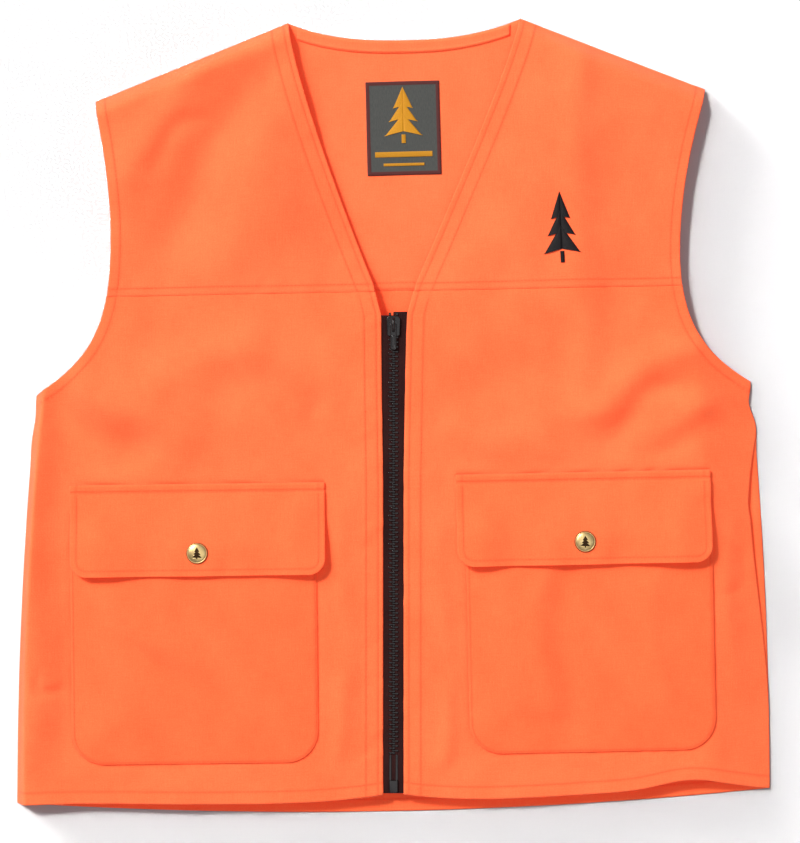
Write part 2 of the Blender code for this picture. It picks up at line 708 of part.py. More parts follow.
def trim(name, size, spot, z, rgb):
    """A flat woven or embroidered piece."""
    half_x, half_y = size[0] / 2, size[1] / 2
    corners = [(half_x, half_y), (-half_x, half_y), (-half_x, -half_y), (half_x, -half_y)]
    obj = flat(name, corners, 0, TRIM, rgb)
    obj.location = (spot[0], spot[1], z)
    obj.rotation_euler.z = math.radians(spot[2])


def build():
    global parts, cutters
    clear_scene()
    parts = collection("blaze_orange_vest")
    cutters = collection("cutters")
    backs()
    for name, side in SIDES.items():
        fronts(name, side)
        zip_side(name, side)
        x, y, angle = PLACES[name]
        place = bpy.data.objects.new(f"pocket_{name}_place", None)
        parts.objects.link(place)
        place.location = (x, y, 0)
        place.rotation_euler.z = math.radians(angle)
        bag = pocket(name, side, place)
        hole = cutter(f"bag_hole_{name}", turned_hole(BAG_HOLE), place)
        hole.location = (0, -SNAP_V, 0)
        boolean(bag, hole, "DIFFERENCE")
        snap(name, place, flap(name, place))
    zip_end()
    slider()
    pull()
    trim("neck_label", LABEL_SIZE, LABEL_PLACE, CLOTH + GAP, SLATE)
    trim("chest_emblem", EMBLEM_SIZE, EMBLEM_PLACE, PANEL_TOP + GAP, PLASTIC_BLACK)
    bpy.context.view_layer.update()


build()
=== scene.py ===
import json
import math
from dataclasses import dataclass

import bmesh
import bpy
import numpy as np
from mathutils import Matrix, Vector


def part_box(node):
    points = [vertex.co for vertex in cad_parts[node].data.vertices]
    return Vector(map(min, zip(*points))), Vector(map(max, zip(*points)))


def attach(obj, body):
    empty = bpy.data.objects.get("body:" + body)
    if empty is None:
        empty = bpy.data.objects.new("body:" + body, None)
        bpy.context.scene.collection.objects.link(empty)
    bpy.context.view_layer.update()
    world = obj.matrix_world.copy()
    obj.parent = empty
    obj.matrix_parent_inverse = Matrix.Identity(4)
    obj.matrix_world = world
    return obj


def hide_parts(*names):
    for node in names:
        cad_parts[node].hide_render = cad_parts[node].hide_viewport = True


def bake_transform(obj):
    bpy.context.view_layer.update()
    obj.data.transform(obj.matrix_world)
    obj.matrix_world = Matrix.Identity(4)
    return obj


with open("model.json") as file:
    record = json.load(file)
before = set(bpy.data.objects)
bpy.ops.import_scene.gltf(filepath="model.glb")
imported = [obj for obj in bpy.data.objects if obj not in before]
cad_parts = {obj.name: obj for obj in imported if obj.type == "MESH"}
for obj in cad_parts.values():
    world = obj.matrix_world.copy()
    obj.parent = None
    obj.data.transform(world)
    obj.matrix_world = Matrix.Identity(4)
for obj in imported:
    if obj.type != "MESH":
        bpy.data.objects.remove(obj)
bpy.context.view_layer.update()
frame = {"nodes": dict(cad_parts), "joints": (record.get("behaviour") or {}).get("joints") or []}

MM = 0.001
SIDES = {"right": -1, "left": 1}  # the wearer's, by the sign of x

# ---------------------------------------------------------------- the cut, as in the CAD
NECK = (0.0910, 0.3082)
SHOULDER = (0.2383, 0.2498)
ARMHOLE_WAIST = (0.2214, 0.1290)
UNDERARM = (0.2795, 0.0201)
HEM_CORNER = (0.2945, -0.2982)
BACK_NECK_Y = 0.2934
BACK_HEM_DROP = 0.0122
BACK_SEAM_Y = 0.0978
FRONT_SEAM_Y = 0.0970
V_CORNER = (0.0105, 0.0780)
V_LOW = (0.0170, 0.1020)
ZIP_EDGE_X = 0.0085
FRONT_HEM_Y = -0.2955
SKEW = 0.020
LEAN = 0.087
SIDE_SLOPES = {-1: 0.007, 1: 0.042}  # how wide the front's fall to each side seam is
SHOULDER_SLOPE = 0.014
HEM_LIFT = 0.0075  # the left front's hem stands up here and shows the inside of the back
FRONT_HEM_CURVES = {-1: ((0.0800, -0.3068), (0.1900, -0.2964)), 1: ((0.0800, -0.3085), (0.2050, -0.2905))}
SEAM_INSET = 0.0086  # the left side seam lies this far inside the outline, below the underarm
V_DROOP = 0.62  # how much lower the V's edges lie than the chest
V_DROOP_REACH = 0.055

# heights read from the frame
SEAM_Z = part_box("front_panel_right")[0][2]
FRONT_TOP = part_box("front_panel_right")[1][2]
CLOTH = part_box("back_panel")[1][2]
FRONT_Z = FRONT_TOP - CLOTH
FACING_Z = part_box("front_facing_right")[0][2]
TAPE_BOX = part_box("zip_tape_right")
ZIP_Z = (TAPE_BOX[0][2] + TAPE_BOX[1][2]) / 2
FLAP_FOOT_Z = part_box("flap_seam_right")[0][2]
BAG_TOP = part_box("pocket_right")[1][2]

POCKET_WIDTH = 0.1920
POCKET_SHIFT = 0.0038
POCKET_MOUTH = 0.0220
POCKET_BOTTOM = 0.2180
POCKET_RADIUS = 0.0250
FLAP_WIDTH = 0.1976
FLAP_HEIGHT = 0.0712
FLAP_RADIUS = 0.0126
FLAP_STITCH = 0.0063
LINING_INSET = 0.0011
SNAP_V = 0.0534

THREAD_RADIUS = 0.00021
STITCH_PITCH = 0.0030
STITCH_SHARE = 0.86  # of the pitch; the rest is the gap to the next one
GROOVE = 0.0009  # half width of a stitch channel
SINK = 0.0002  # the fronts' cloth lies this far under the CAD's top
TUCK = 0.004  # how far a panel goes under the yoke above it
THINNEST = 0.0005  # of a front's cloth
BAND_LIFT = 0.00025  # how much a band turned under raises the cloth
SHARP = math.radians(50)

# stitch rows of the free edges, and the band turned under each
HEM_ROWS, HEM_BAND = (0.0090,), 0.0100
ARM_ROWS, ARM_BAND = (0.0070,), 0.0080
ZIP_ROWS, ZIP_BAND = (0.0036, 0.0128), 0.0145
V_ROWS, V_BAND = (0.0038, 0.0132), 0.0148
YOKE_ROWS, YOKE_BAND = (0.0052,), 0.0064
BACK_YOKE_ROWS, BACK_YOKE_BAND = (0.0010, 0.0056), 0.0068


# steps of the grids of cloth
FRONT_STEP = 0.0026
LINING_STEP = 0.0034
BACK_STEP = 0.0042
BACK_YOKE_STEP = 0.0030


# ---------------------------------------------------------------- curves in the plane
def bezier(a, b, c, d, steps=24):
    t = np.linspace(0, 1, steps + 1)[:, None]
    a, b, c, d = (np.array(p) for p in (a, b, c, d))
    return (1 - t) ** 3 * a + 3 * t * (1 - t) ** 2 * b + 3 * t * t * (1 - t) * c + t**3 * d


def path(*runs):
    """One line through several runs of points, without doubled ones."""
    points = np.concatenate([np.atleast_2d(np.array(run, float)) for run in runs])
    far = np.ones(len(points), bool)
    far[1:] = np.linalg.norm(np.diff(points, axis=0), axis=1) > 1e-7
    return points[far]


def lengths(line):
    return np.concatenate([[0], np.cumsum(np.linalg.norm(np.diff(line, axis=0), axis=1))])


def along(line, distances):
    """Places on a line at distances from its start."""
    marks = lengths(line)
    return np.stack([np.interp(distances, marks, line[:, k]) for k in range(line.shape[1])], -1)


def between(line, start, end, steps=None):
    """The stretch of a line between two distances, resampled."""
    steps = steps or max(2, int((end - start) / 0.003))
    return along(line, np.linspace(start, end, steps + 1))


def offset(line, distance):
    """A line moved to its left by a distance."""
    step = np.gradient(line, axis=0)
    step /= np.linalg.norm(step, axis=1)[:, None]
    return line + distance * np.stack([-step[:, 1], step[:, 0]], -1)


def nearest(line, points):
    """How far points are from a line, and how far along it the nearest place is."""
    flat = points.reshape(-1, 2)
    start, run = line[:-1], np.diff(line, axis=0)
    size = np.linalg.norm(run, axis=1)
    marks = lengths(line)[:-1]
    best, place = np.full(len(flat), 1e9), np.zeros(len(flat))
    for a, d, l, m in zip(start, run, size, marks):
        t = np.clip((flat - a) @ d / l**2, 0, 1)
        gap = np.linalg.norm(flat - a - t[:, None] * d, axis=1)
        closer = gap < best
        best[closer] = gap[closer]
        place[closer] = m + t[closer] * l
    return best.reshape(points.shape[:-1]), place.reshape(points.shape[:-1])


def smooth(t):
    """0 below 0, 1 above 1, and a soft step between."""
    t = np.clip(t, 0, 1)
    return t * t * (3 - 2 * t)


def rounded(t):
    return np.sin(np.pi / 2 * np.clip(t, 0, 1))


def bump(distance, width):
    return np.exp(-((distance / width) ** 2))


def ripple(s, wavelength, seed):
    """A lively wave from -1 to 1 along a line, different for each seed."""
    w = 2 * np.pi * s / wavelength
    made = np.sin(w + 1.7 * seed) + 0.7 * np.sin(1.618 * w + 2.9 * seed)
    return (made + 0.5 * np.sin(0.37 * w + 4.1 * seed)) / 2.2


def swell(points, first, second):
    """Crossed waves from -1 to 1; each is given by its rates in x and y and its phase."""
    made = 1
    for across, up, phase in (first, second):
        made = made * np.sin(across * points[..., 0] + up * points[..., 1] + phase)
    return made


def laid(points):
    """Where points of the cut lie, with the skew and lean of the vest as it is put down."""
    x, y = points[..., 0], points[..., 1]
    return np.stack([x + LEAN * np.maximum(y, 0) ** 2, y + SKEW * x], -1)


def side_x(y):
    t = (np.minimum(y, UNDERARM[1]) - HEM_CORNER[1]) / (UNDERARM[1] - HEM_CORNER[1])
    return HEM_CORNER[0] - (HEM_CORNER[0] - UNDERARM[0]) * np.maximum(t, 0) ** 2


def side_seam(side):
    """From the hem's corner up to the underarm; the left one is pinched below the underarm."""
    y = np.linspace(HEM_CORNER[1], UNDERARM[1], 61)
    pinch = 0.0032 * bump(y - 0.0035, 0.0090) - 0.0014 * bump(y + 0.0180, 0.0110)
    return np.stack([side_x(y) - (pinch if side > 0 else 0.4 * pinch), y], -1)


def armhole():
    """From the underarm up to the shoulder."""
    low = bezier(UNDERARM, (0.2472, 0.0399), (0.2214, 0.0600), ARMHOLE_WAIST)
    return path(low, bezier(ARMHOLE_WAIST, (0.2214, 0.1740), (0.2277, 0.2060), SHOULDER))


def opening():
    """The front's free edge: up beside the zip, then along the V to the neck."""
    straight = [(ZIP_EDGE_X, FRONT_HEM_Y), (ZIP_EDGE_X, -0.0500), V_CORNER]
    return path(straight, bezier(V_LOW, (0.0419, 0.1620), (0.0850, 0.2680), NECK))


def split(line, y):
    """A rising line cut at a level: the part below and the part above."""
    marks = lengths(line)
    mark = np.interp(y, line[:, 1], marks)
    low = path(line[marks < mark], along(line, [mark]))
    return low, path(along(line, [mark]), line[marks > mark])


def steps_along(length, coarse, low=0.0, high=0.0, fine=0.0012, keep=()):
    """Fractions of an edge: close together near its ends, with a step at each kept place."""
    parts = [np.arange(0, low, fine), [length - high]]
    middle = max(1, round((length - high - low) / coarse))
    parts.append(np.linspace(low, length - high, middle + 1)[:-1])
    parts.append(length - np.arange(0, high, fine))
    marks = np.unique(np.round(np.concatenate(parts), 7))
    for place in keep:
        marks[np.abs(marks - place).argmin()] = place
    return marks / length


def coons(bottom, right, top, left, s, t):
    """A patch of cloth inside four edges, at fractions s across and t up."""
    b, u = along(bottom, s * lengths(bottom)[-1]), along(top, s * lengths(top)[-1])
    l, r = along(left, t * lengths(left)[-1]), along(right, t * lengths(right)[-1])
    s, t = s[None, :, None], t[:, None, None]
    ruled = (1 - t) * b[None] + t * u[None] + (1 - s) * l[:, None] + s * r[:, None]
    corners = (1 - s) * (1 - t) * b[0] + s * (1 - t) * b[-1] + (1 - s) * t * u[0] + s * t * u[-1]
    return ruled - corners


# ---------------------------------------------------------------- heights
@dataclass
class Edge:
    """A sewn edge of a cloth: its line, its stitch rows, and the band turned under it."""

    line: np.ndarray
    rows: tuple
    band: float
    lift: float
    inward: int
    seed: float
    pucker: float = 0.00016

    def relief(self, points):
        """What the edge adds to the height there, and how deep in a stitch channel it is."""
        away, place = nearest(self.line, points)
        height = np.zeros(away.shape)
        seam = np.zeros(away.shape)
        if self.band:
            height += self.lift * smooth((self.band - away) / 0.0016 + 0.5)
        for i, row in enumerate(self.rows):
            channel = bump(away - row, GROOVE)
            seam = np.maximum(seam, channel)
            height -= 0.00016 * channel * (1 + 0.4 * ripple(place, 0.0062, self.seed + i))
            waves = ripple(place + 0.5 * (away - row), 0.0094, self.seed + 0.7 * i)
            patchy = 0.6 + 0.6 * ripple(place, 0.0870, self.seed + 3)
            height += self.pucker * patchy * waves * bump(away - row, 0.0042)
            broad = ripple(place + 0.4 * (away - row), 0.0260, self.seed + 1.3 * i)
            height += 1.6 * self.pucker * patchy * broad * bump(away - row, 0.0090)
        return height, seam

    def stitch_lines(self):
        return [offset(self.line, self.inward * row) for row in self.rows]


def with_edges(high, points, edges, share=1.0):
    """A height with what its sewn edges add, and how deep in a stitch channel it is, which sets painted
    shade in the cloth's colour.
    """
    depth = np.zeros(high.shape)
    for edge in edges:
        more, seam_depth = edge.relief(points)
        high = high + more
        depth = np.maximum(depth, share * seam_depth)
    return high, depth


# long soft folds of the front as it lies: from, to, half width, height
FOLDS = (
    ((-0.094, 0.275), (-0.178, 0.140), 0.022, -0.0080),
    ((-0.128, 0.292), (-0.214, 0.186), 0.014, 0.0036),
    ((-0.150, 0.232), (-0.196, 0.196), 0.009, -0.0024),
    ((-0.130, 0.200), (-0.060, 0.150), 0.020, 0.0030),
    ((-0.060, 0.205), (-0.150, 0.105), 0.026, 0.0030),
    ((-0.100, 0.262), (-0.070, 0.226), 0.012, -0.0020),
    ((0.230, 0.050), (0.150, 0.006), 0.015, 0.0048),
    ((0.222, 0.024), (0.160, -0.018), 0.012, -0.0028),
    ((0.276, 0.014), (0.205, -0.006), 0.012, 0.0030),
    ((0.270, -0.012), (0.190, -0.030), 0.012, -0.0022),
    ((0.262, 0.002), (0.120, 0.006), 0.010, 0.0014),
    ((-0.270, 0.010), (-0.205, -0.040), 0.020, -0.0066),
    ((-0.245, 0.030), (-0.165, -0.024), 0.020, 0.0046),
    ((-0.276, -0.010), (-0.287, -0.255), 0.017, 0.0080),
    ((-0.277, -0.205), (-0.258, -0.222), 0.006, -0.0022),
    ((0.200, 0.235), (0.110, 0.195), 0.020, 0.0024),
    ((0.150, 0.290), (0.144, 0.030), 0.014, 0.0032),
    ((0.268, -0.080), (0.262, -0.230), 0.008, 0.0018),
    ((0.262, -0.140), (0.282, -0.110), 0.006, -0.0018),
    ((-0.060, -0.275), (-0.022, -0.200), 0.011, 0.0024),
    ((0.030, -0.275), (0.052, -0.215), 0.011, 0.0026),
    ((0.060, 0.020), (0.190, 0.075), 0.026, -0.0034),
    ((-0.090, 0.050), (-0.210, 0.020), 0.022, 0.0040),
    ((-0.062, 0.010), (-0.030, -0.046), 0.014, -0.0036),
    ((-0.120, 0.070), (-0.050, 0.010), 0.016, 0.0026),
    ((-0.190, 0.078), (-0.120, 0.010), 0.016, -0.0032),
    ((0.048, -0.010), (0.120, -0.026), 0.014, 0.0022),
    ((-0.036, -0.080), (-0.034, -0.200), 0.010, 0.0012),
    ((0.036, -0.090), (0.040, -0.190), 0.009, 0.0012),
)


# its ripples: height, and the two waves that cross
RIPPLES = (
    (0.00100, (41, 17, 0.6), (-9, 23, 0)),
    (0.00050, (87, -38, 1.9), (21, 59, 0.4)),
    (0.00024, (140, 71, 0.3), (-52, 118, 2.1)),
)


def quiet(points):
    """1 where the front is free to ripple, 0 beside the zip and under the pockets."""
    made = smooth((np.abs(points[..., 0]) - 0.018) / 0.030)
    for name in SIDES:
        u, v = np.moveaxis(POCKETS[name].local(points), -1, 0)
        beyond = np.maximum(np.abs(u) - POCKET_WIDTH / 2, np.maximum(v, -v - POCKET_BOTTOM))
        made = made * smooth((beyond - 0.001) / 0.016)
    return made


def crease(points, start, end, width):
    """1 along a soft crease from one place to another, 0 away from it."""
    start, end = np.array(start), np.array(end)
    run = end - start
    size = np.linalg.norm(run)
    t = (points - start) @ run / size**2
    across = (points - start) @ np.array([-run[1], run[0]]) / size
    ends = smooth((t + 0.25) / 0.4) * smooth((1.25 - t) / 0.4)
    return bump(across + 0.006 * np.sin(5 * t), width * (0.8 + 0.3 * t)) * ends


def relief(points):
    """Height that the folds and ripples of the front add at points as laid."""
    made = np.zeros(points.shape[:-1])
    for start, end, width, height in FOLDS:
        made += height * crease(points, start, end, width)
    for height, first, second in RIPPLES:
        made += height * swell(points, first, second)
    return made * quiet(points)


def slope(points, side):
    """0 at the side and shoulder seams, 1 on the flat of the front."""
    x, y = points[..., 0], points[..., 1]
    run = np.array(SHOULDER) - np.array(NECK)
    run /= np.linalg.norm(run)
    to_shoulder = (NECK[1] - y) * run[0] - (NECK[0] - x) * run[1]
    return ramp((side_x(y) - x) / SIDE_SLOPES[side]) * rounded(to_shoulder / SHOULDER_SLOPE)


def ramp(t):
    """A straight rise from 0 to 1, rounded over where it meets the flat."""
    t = np.clip(t, 0, None)
    return (t + 1 - np.sqrt((t - 1) ** 2 + 0.012)) / 2


def droop(points, side):
    """0 on the chest, rising to 1 at the V's edges, which lie close to the back."""
    near = 1 - smooth(nearest(opening(), points)[0] / V_DROOP_REACH)
    near = near * (1 - (0.85 if side < 0 else 0.2) * smooth((points[..., 1] - 0.205) / 0.045))
    return near * smooth((points[..., 1] - V_CORNER[1] - 0.004) / 0.050)


def front_under(points, side):
    """Underside of the front above points of the half cut."""
    full = slope(points, side) * (1 - V_DROOP * droop(points, side))
    lying = laid(points * (side, 1))
    return SEAM_Z + (FRONT_Z - SEAM_Z) * full + relief(lying) * full


# ---------------------------------------------------------------- meshes
def put(name, data):
    """A new object in the scene."""
    obj = bpy.data.objects.new(name, data)
    bpy.context.scene.collection.objects.link(obj)
    return obj


def finished(bm, name, material, sharp=False):
    """A smooth object of a mesh that has been built up."""
    mesh = bpy.data.meshes.new(name)
    bm.to_mesh(mesh)
    bm.free()
    mesh.shade_smooth()
    if sharp:
        mesh.set_sharp_from_angle(angle=SHARP)
    mesh.materials.append(material)
    return put(name, mesh)


def loft(bm, rings, closed=False):
    """Faces between rings of vertices, one after another."""
    after = rings[1:] + rings[:1] if closed else rings[1:]
    for first, second in zip(rings, after):
        for i, vert in enumerate(first):
            j = (i + 1) % len(first)
            bm.faces.new((vert, first[j], second[j], second[i]))


def mesh_object(name, verts, faces, material, uv=None, seam=None):
    """A smooth object; uv is a place in the cloth for each vertex, seam how deep in a channel."""
    mesh = bpy.data.meshes.new(name)
    mesh.from_pydata([tuple(v) for v in verts], [], [tuple(f) for f in faces])
    if uv is not None:
        layer = mesh.uv_layers.new(name="cloth")
        corners = np.zeros(len(mesh.loops), int)
        mesh.loops.foreach_get("vertex_index", corners)
        layer.data.foreach_set("uv", np.asarray(uv, float)[corners].ravel())
    if seam is not None:
        mesh.attributes.new("seam", "FLOAT", "POINT").data.foreach_set("value", np.asarray(seam, float))
    bm = bmesh.new()
    bm.from_mesh(mesh)
    bmesh.ops.recalc_face_normals(bm, faces=bm.faces)
    bm.to_mesh(mesh)
    bm.free()
    mesh.shade_smooth()
    mesh.materials.append(material)
    return put(name, mesh)


def sheet_mesh(name, plan, top, under, uv, material, seam=None):
    """A cloth between two height fields over one grid, with a rounded edge all round."""
    rows, cols = plan.shape[:2]
    count = rows * cols
    index = np.arange(count).reshape(rows, cols)
    upper = np.dstack([plan, top]).reshape(-1, 3)
    lower = np.dstack([plan, under]).reshape(-1, 3)
    upward = np.stack([index[:-1, :-1], index[:-1, 1:], index[1:, 1:], index[1:, :-1]], -1)
    upward = upward.reshape(-1, 4)
    ring = np.concatenate([index[0, :-1], index[:-1, -1], index[-1, :0:-1], index[:0:-1, 0]])
    row, col = np.divmod(ring, cols)
    inner = np.clip(row, 1, rows - 2) * cols + np.clip(col, 1, cols - 2)
    outward = upper[ring, :2] - upper[inner, :2]
    outward /= np.linalg.norm(outward, axis=1)[:, None]
    half = (upper[ring, 2] - lower[ring, 2]) / 2
    rim = (upper[ring] + lower[ring]) / 2
    rim[:, :2] += outward * half[:, None]
    verts = np.concatenate([upper, lower, rim])
    ring_after = np.roll(ring, -1)
    edge = 2 * count + np.arange(len(ring))
    edge_after = np.roll(edge, -1)
    band = [np.stack([ring, ring_after, edge_after, edge], -1),
            np.stack([edge, edge_after, count + ring_after, count + ring], -1)]
    faces = np.concatenate([upward, upward[:, ::-1] + count, *band])
    flat_uv = uv.reshape(-1, 2)
    flat_uv = np.concatenate([flat_uv, flat_uv, flat_uv[ring]])
    depth = np.zeros(len(verts))
    if seam is not None:
        depth[:count] = seam.ravel()
        depth[count:2 * count] = seam.ravel()
    return mesh_object(name, verts, faces, material, flat_uv, depth)


# a stitch's rings: place along it, size, and height
STITCH_RINGS = ((-0.50, 0.30, -1.0), (-0.36, 0.85, -0.25), (0.0, 1.0, 0.15), (0.36, 0.85, -0.25),
                (0.50, 0.30, -1.0))
STITCH_SIDES = 6


def quads(a, b, sides):
    """Faces between two rings of vertices that start at a and b."""
    return [(a + i, a + (i + 1) % sides, b + (i + 1) % sides, b + i) for i in range(sides)]


def tube_faces(base, rings, sides):
    """Faces of a closed tube whose rings of vertices start at base."""
    made = []
    for ring in range(rings - 1):
        made += quads(base + ring * sides, base + (ring + 1) * sides, sides)
    last = base + (rings - 1) * sides
    made.append(tuple(base + i for i in range(sides))[::-1])
    made.append(tuple(last + i for i in range(sides)))
    return made


def stitches(name, rows, material):
    """Rows of stitches along lines in space, each stitch dipping into the cloth at its ends."""
    verts, faces = [], []
    angles = np.arange(STITCH_SIDES) * 2 * np.pi / STITCH_SIDES
    for line in rows:
        total = lengths(line)[-1]
        count = int(total / STITCH_PITCH)
        if count < 1:
            continue
        reach = 0.0004
        centres = (np.arange(count) + 0.5) * total / count
        middle, ahead = along(line, centres), along(line, np.minimum(centres + reach, total))
        behind = along(line, np.maximum(centres - reach, 0))
        for centre, forward in zip(middle, ahead - behind):
            forward /= np.linalg.norm(forward)
            across = np.cross((0, 0, 1), forward)
            across /= np.linalg.norm(across)
            up = np.cross(forward, across)
            base = len(verts)
            for at, size, sink in STITCH_RINGS:
                ring = centre + forward * at * STITCH_PITCH * STITCH_SHARE + up * sink * THREAD_RADIUS
                for angle in angles:
                    spoke = across * math.cos(angle) + up * 0.8 * math.sin(angle)
                    verts.append(ring + THREAD_RADIUS * size * spoke)
            faces += tube_faces(base, len(STITCH_RINGS), STITCH_SIDES)
    return mesh_object(name, verts, faces, material)


def prism(plan, low, high, bevel, place, material, name="prism", segments=2):
    """A flat outline given a height, with rounded edges."""
    bm = bmesh.new()
    base = bm.faces.new([bm.verts.new((x, y, low)) for x, y in plan])
    top = bmesh.ops.extrude_face_region(bm, geom=[base])
    raised = [v for v in top["geom"] if isinstance(v, bmesh.types.BMVert)]
    bmesh.ops.translate(bm, verts=raised, vec=(0, 0, high - low))
    bmesh.ops.recalc_face_normals(bm, faces=bm.faces)
    bmesh.ops.bevel(bm, geom=bm.edges[:], offset=bevel, segments=segments, affect="EDGES", profile=0.6)
    obj = finished(bm, name, material, sharp=True)
    obj.data.transform(place)
    return obj


def join(name, objects):
    """Several mesh objects as one."""
    bm = bmesh.new()
    for obj in objects:
        copy = obj.data.copy()
        copy.transform(obj.matrix_world)
        bm.from_mesh(copy)
        bpy.data.meshes.remove(copy)
    mesh = bpy.data.meshes.new(name)
    bm.to_mesh(mesh)
    bm.free()
    for material in objects[0].data.materials:
        mesh.materials.append(material)
    for obj in objects:
        bpy.data.objects.remove(obj)
    mesh.set_sharp_from_angle(angle=SHARP)
    return put(name, mesh)


# ---------------------------------------------------------------- materials
def linear(rgb):
    """A colour of 0 to 255 sRGB channels as linear light."""
    c = np.array(rgb) / 255
    return (*np.where(c <= 0.04045, c / 12.92, ((c + 0.055) / 1.055) ** 2.4), 1.0)


class Shader:
    """A material's node tree, built up in code."""

    def __init__(self, name, rgb, roughness, **constants):
        self.material = bpy.data.materials.new(name)
        self.material.use_nodes = True
        self.tree = self.material.node_tree
        self.surface = self.tree.nodes["Principled BSDF"]
        self.surface.inputs["Base Color"].default_value = linear(rgb)
        self.surface.inputs["Roughness"].default_value = roughness
        for socket, value in constants.items():
            self.surface.inputs[socket.replace("_", " ")].default_value = value

    def node(self, kind, settings=None, **inputs):
        """A new node; an input is given by its name, or as i0, i1 by its number."""
        made = self.tree.nodes.new(kind)
        for key, value in (settings or {}).items():
            setattr(made, key, value)
        for key, value in inputs.items():
            socket = int(key[1:]) if key[0] == "i" and key[1:].isdigit() else key.replace("_", " ")
            self.plug(made.inputs[socket], value)
        return made

    def plug(self, socket, value):
        if isinstance(value, bpy.types.NodeSocket):
            self.tree.links.new(value, socket)
        else:
            socket.default_value = value

    def place(self, scale, source="UV"):
        """Coordinates in the cloth, or in the object, stretched by a scale."""
        where = self.node("ShaderNodeTexCoord").outputs[source]
        return self.node("ShaderNodeMapping", Vector=where, Scale=scale).outputs["Vector"]

    def axes(self, pitch):
        """Places across and along the cloth, counted in yarns of a pitch."""
        where = self.place((1 / pitch, 1 / pitch, 1))
        return self.node("ShaderNodeSeparateXYZ", Vector=where).outputs

    def seam(self):
        """How deep in a stitch channel or an engraving the surface is; on the cloth this sets painted
        shade.
        """
        return self.node("ShaderNodeAttribute", {"attribute_name": "seam"}).outputs["Fac"]

    def math(self, operation, a, b=0.0, clamp=False):
        settings = {"operation": operation, "use_clamp": clamp}
        return self.node("ShaderNodeMath", settings, i0=a, i1=b).outputs[0]

    def times(self, a, b):
        return self.math("MULTIPLY", a, b)

    def sine(self, a, b):
        return self.math("SINE", self.times(a, b))

    def total(self, *values):
        made = values[0]
        for value in values[1:]:
            made = self.math("ADD", made, value)
        return made

    def share(self, a, b=0.0):
        """A sum kept between 0 and 1."""
        return self.math("ADD", a, b, True)

    def noise(self, scale, detail=2.0, source="UV", strength=1.0):
        """Noise from about -strength to strength over stretched coordinates."""
        made = self.node("ShaderNodeTexNoise", Vector=self.place(scale, source), Scale=1.0, Detail=detail)
        return self.times(self.math("SUBTRACT", made.outputs["Fac"], 0.5), 2.0 * strength)

    def tint(self, rgb, amount, other):
        """A colour mixed towards another by an amount; each is a socket or 0 to 255 channels."""
        mix = self.node("ShaderNodeMix", {"data_type": "RGBA", "clamp_factor": True})
        self.plug(mix.inputs[0], amount)
        for socket, value in ((6, rgb), (7, other)):
            self.plug(mix.inputs[socket], linear(value) if isinstance(value, tuple) else value)
        return mix.outputs[2]

    def bumped(self, height, distance):
        made = self.node("ShaderNodeBump", Height=height, Distance=distance, Strength=1.0)
        self.plug(self.surface.inputs["Normal"], made.outputs["Normal"])

    def set(self, **inputs):
        for key, value in inputs.items():
            self.plug(self.surface.inputs[key.replace("_", " ")], value)


YARN = 0.00052  # pitch of the shell's yarns
PAINTED_RED_GLOW = (1.0, 0.02, 0.01, 1.0)  # painted glow for the fluorescent dye: a constant red emission keeps the cloth red in its own shadows
PAINTED_GLOW_STRENGTH = 0.20


def woven(name, rgb, shade, channel_shade_rgb):
    """Matt polyester twill: yarns, slubs along both directions, soft mottling, painted shade in the
    stitch channels, and a painted red glow.
    """
    m = Shader(name, rgb, 0.78, Sheen_Weight=0.06, Sheen_Roughness=0.5, Specular_IOR_Level=0.12)
    # painted glow: the cloth gives off a constant red light of its own
    m.set(Emission_Color=PAINTED_RED_GLOW, Emission_Strength=PAINTED_GLOW_STRENGTH)
    where = m.axes(YARN)
    warp = m.sine(where["X"], 2 * math.pi)
    weft = m.sine(where["Y"], 2 * math.pi)
    twill = m.sine(m.total(where["X"], where["Y"]), math.pi)
    weave = m.total(m.times(warp, 0.5), m.times(weft, 0.4), m.times(twill, 0.6))
    slubs = m.total(m.noise((1100, 90, 1), 3), m.noise((80, 1000, 1), 3))
    m.bumped(m.total(weave, m.times(slubs, 0.9)), 0.00011)
    mottle = m.total(m.noise((38, 30, 1), 3, strength=0.9), m.noise((9, 8, 1), 2, strength=0.8))
    grain = m.noise((950, 950, 1), 3, strength=1.7)
    amount = m.total(m.times(m.total(mottle, m.times(slubs, 0.75), grain), 0.30), 0.5)
    colour = m.tint(shade, m.share(amount), rgb)
    # painted shade: a darker, redder colour in the stitch channels and along the pocket's and flap's sewn
    # edges
    colour = m.tint(colour, m.times(m.seam(), 0.34), channel_shade_rgb)
    m.set(Base_Color=colour, Roughness=m.total(0.78, m.times(slubs, 0.06)))
    return m.material


def thread(name, rgb, shade, roughness=0.6):
    """Twisted sewing thread."""
    m = Shader(name, rgb, roughness, Sheen_Weight=0.05, Sheen_Roughness=0.4, Specular_IOR_Level=0.2)
    twist = m.noise((2600, 2600, 2600), 2, "Object")
    m.set(Base_Color=m.tint(rgb, m.share(m.times(twist, 0.5), 0.4), shade))
    m.bumped(twist, 0.00005)
    return m.material


def ribbed(name, rgb, shade):
    """Knitted zip tape: fine herringbone with paler wear on its ribs."""
    m = Shader(name, rgb, 0.75, Sheen_Weight=0.05, Sheen_Roughness=0.45, Specular_IOR_Level=0.08)
    where = m.axes(MM)
    zig = m.math("ABSOLUTE", m.math("SUBTRACT", m.math("FRACT", m.times(where["X"], 0.55)), 0.5))
    rows = m.sine(m.total(where["Y"], m.times(zig, 1.6)), 9.5)
    fuzz = m.noise((1600, 900, 1), 3)
    m.bumped(m.total(rows, fuzz), 0.00010)
    patches = m.noise((60, 25, 1), 2, strength=0.5)
    wear = m.total(m.times(rows, 0.14), m.times(fuzz, 0.35), patches, 0.4)
    m.set(Base_Color=m.tint(rgb, m.share(wear), shade))
    return m.material


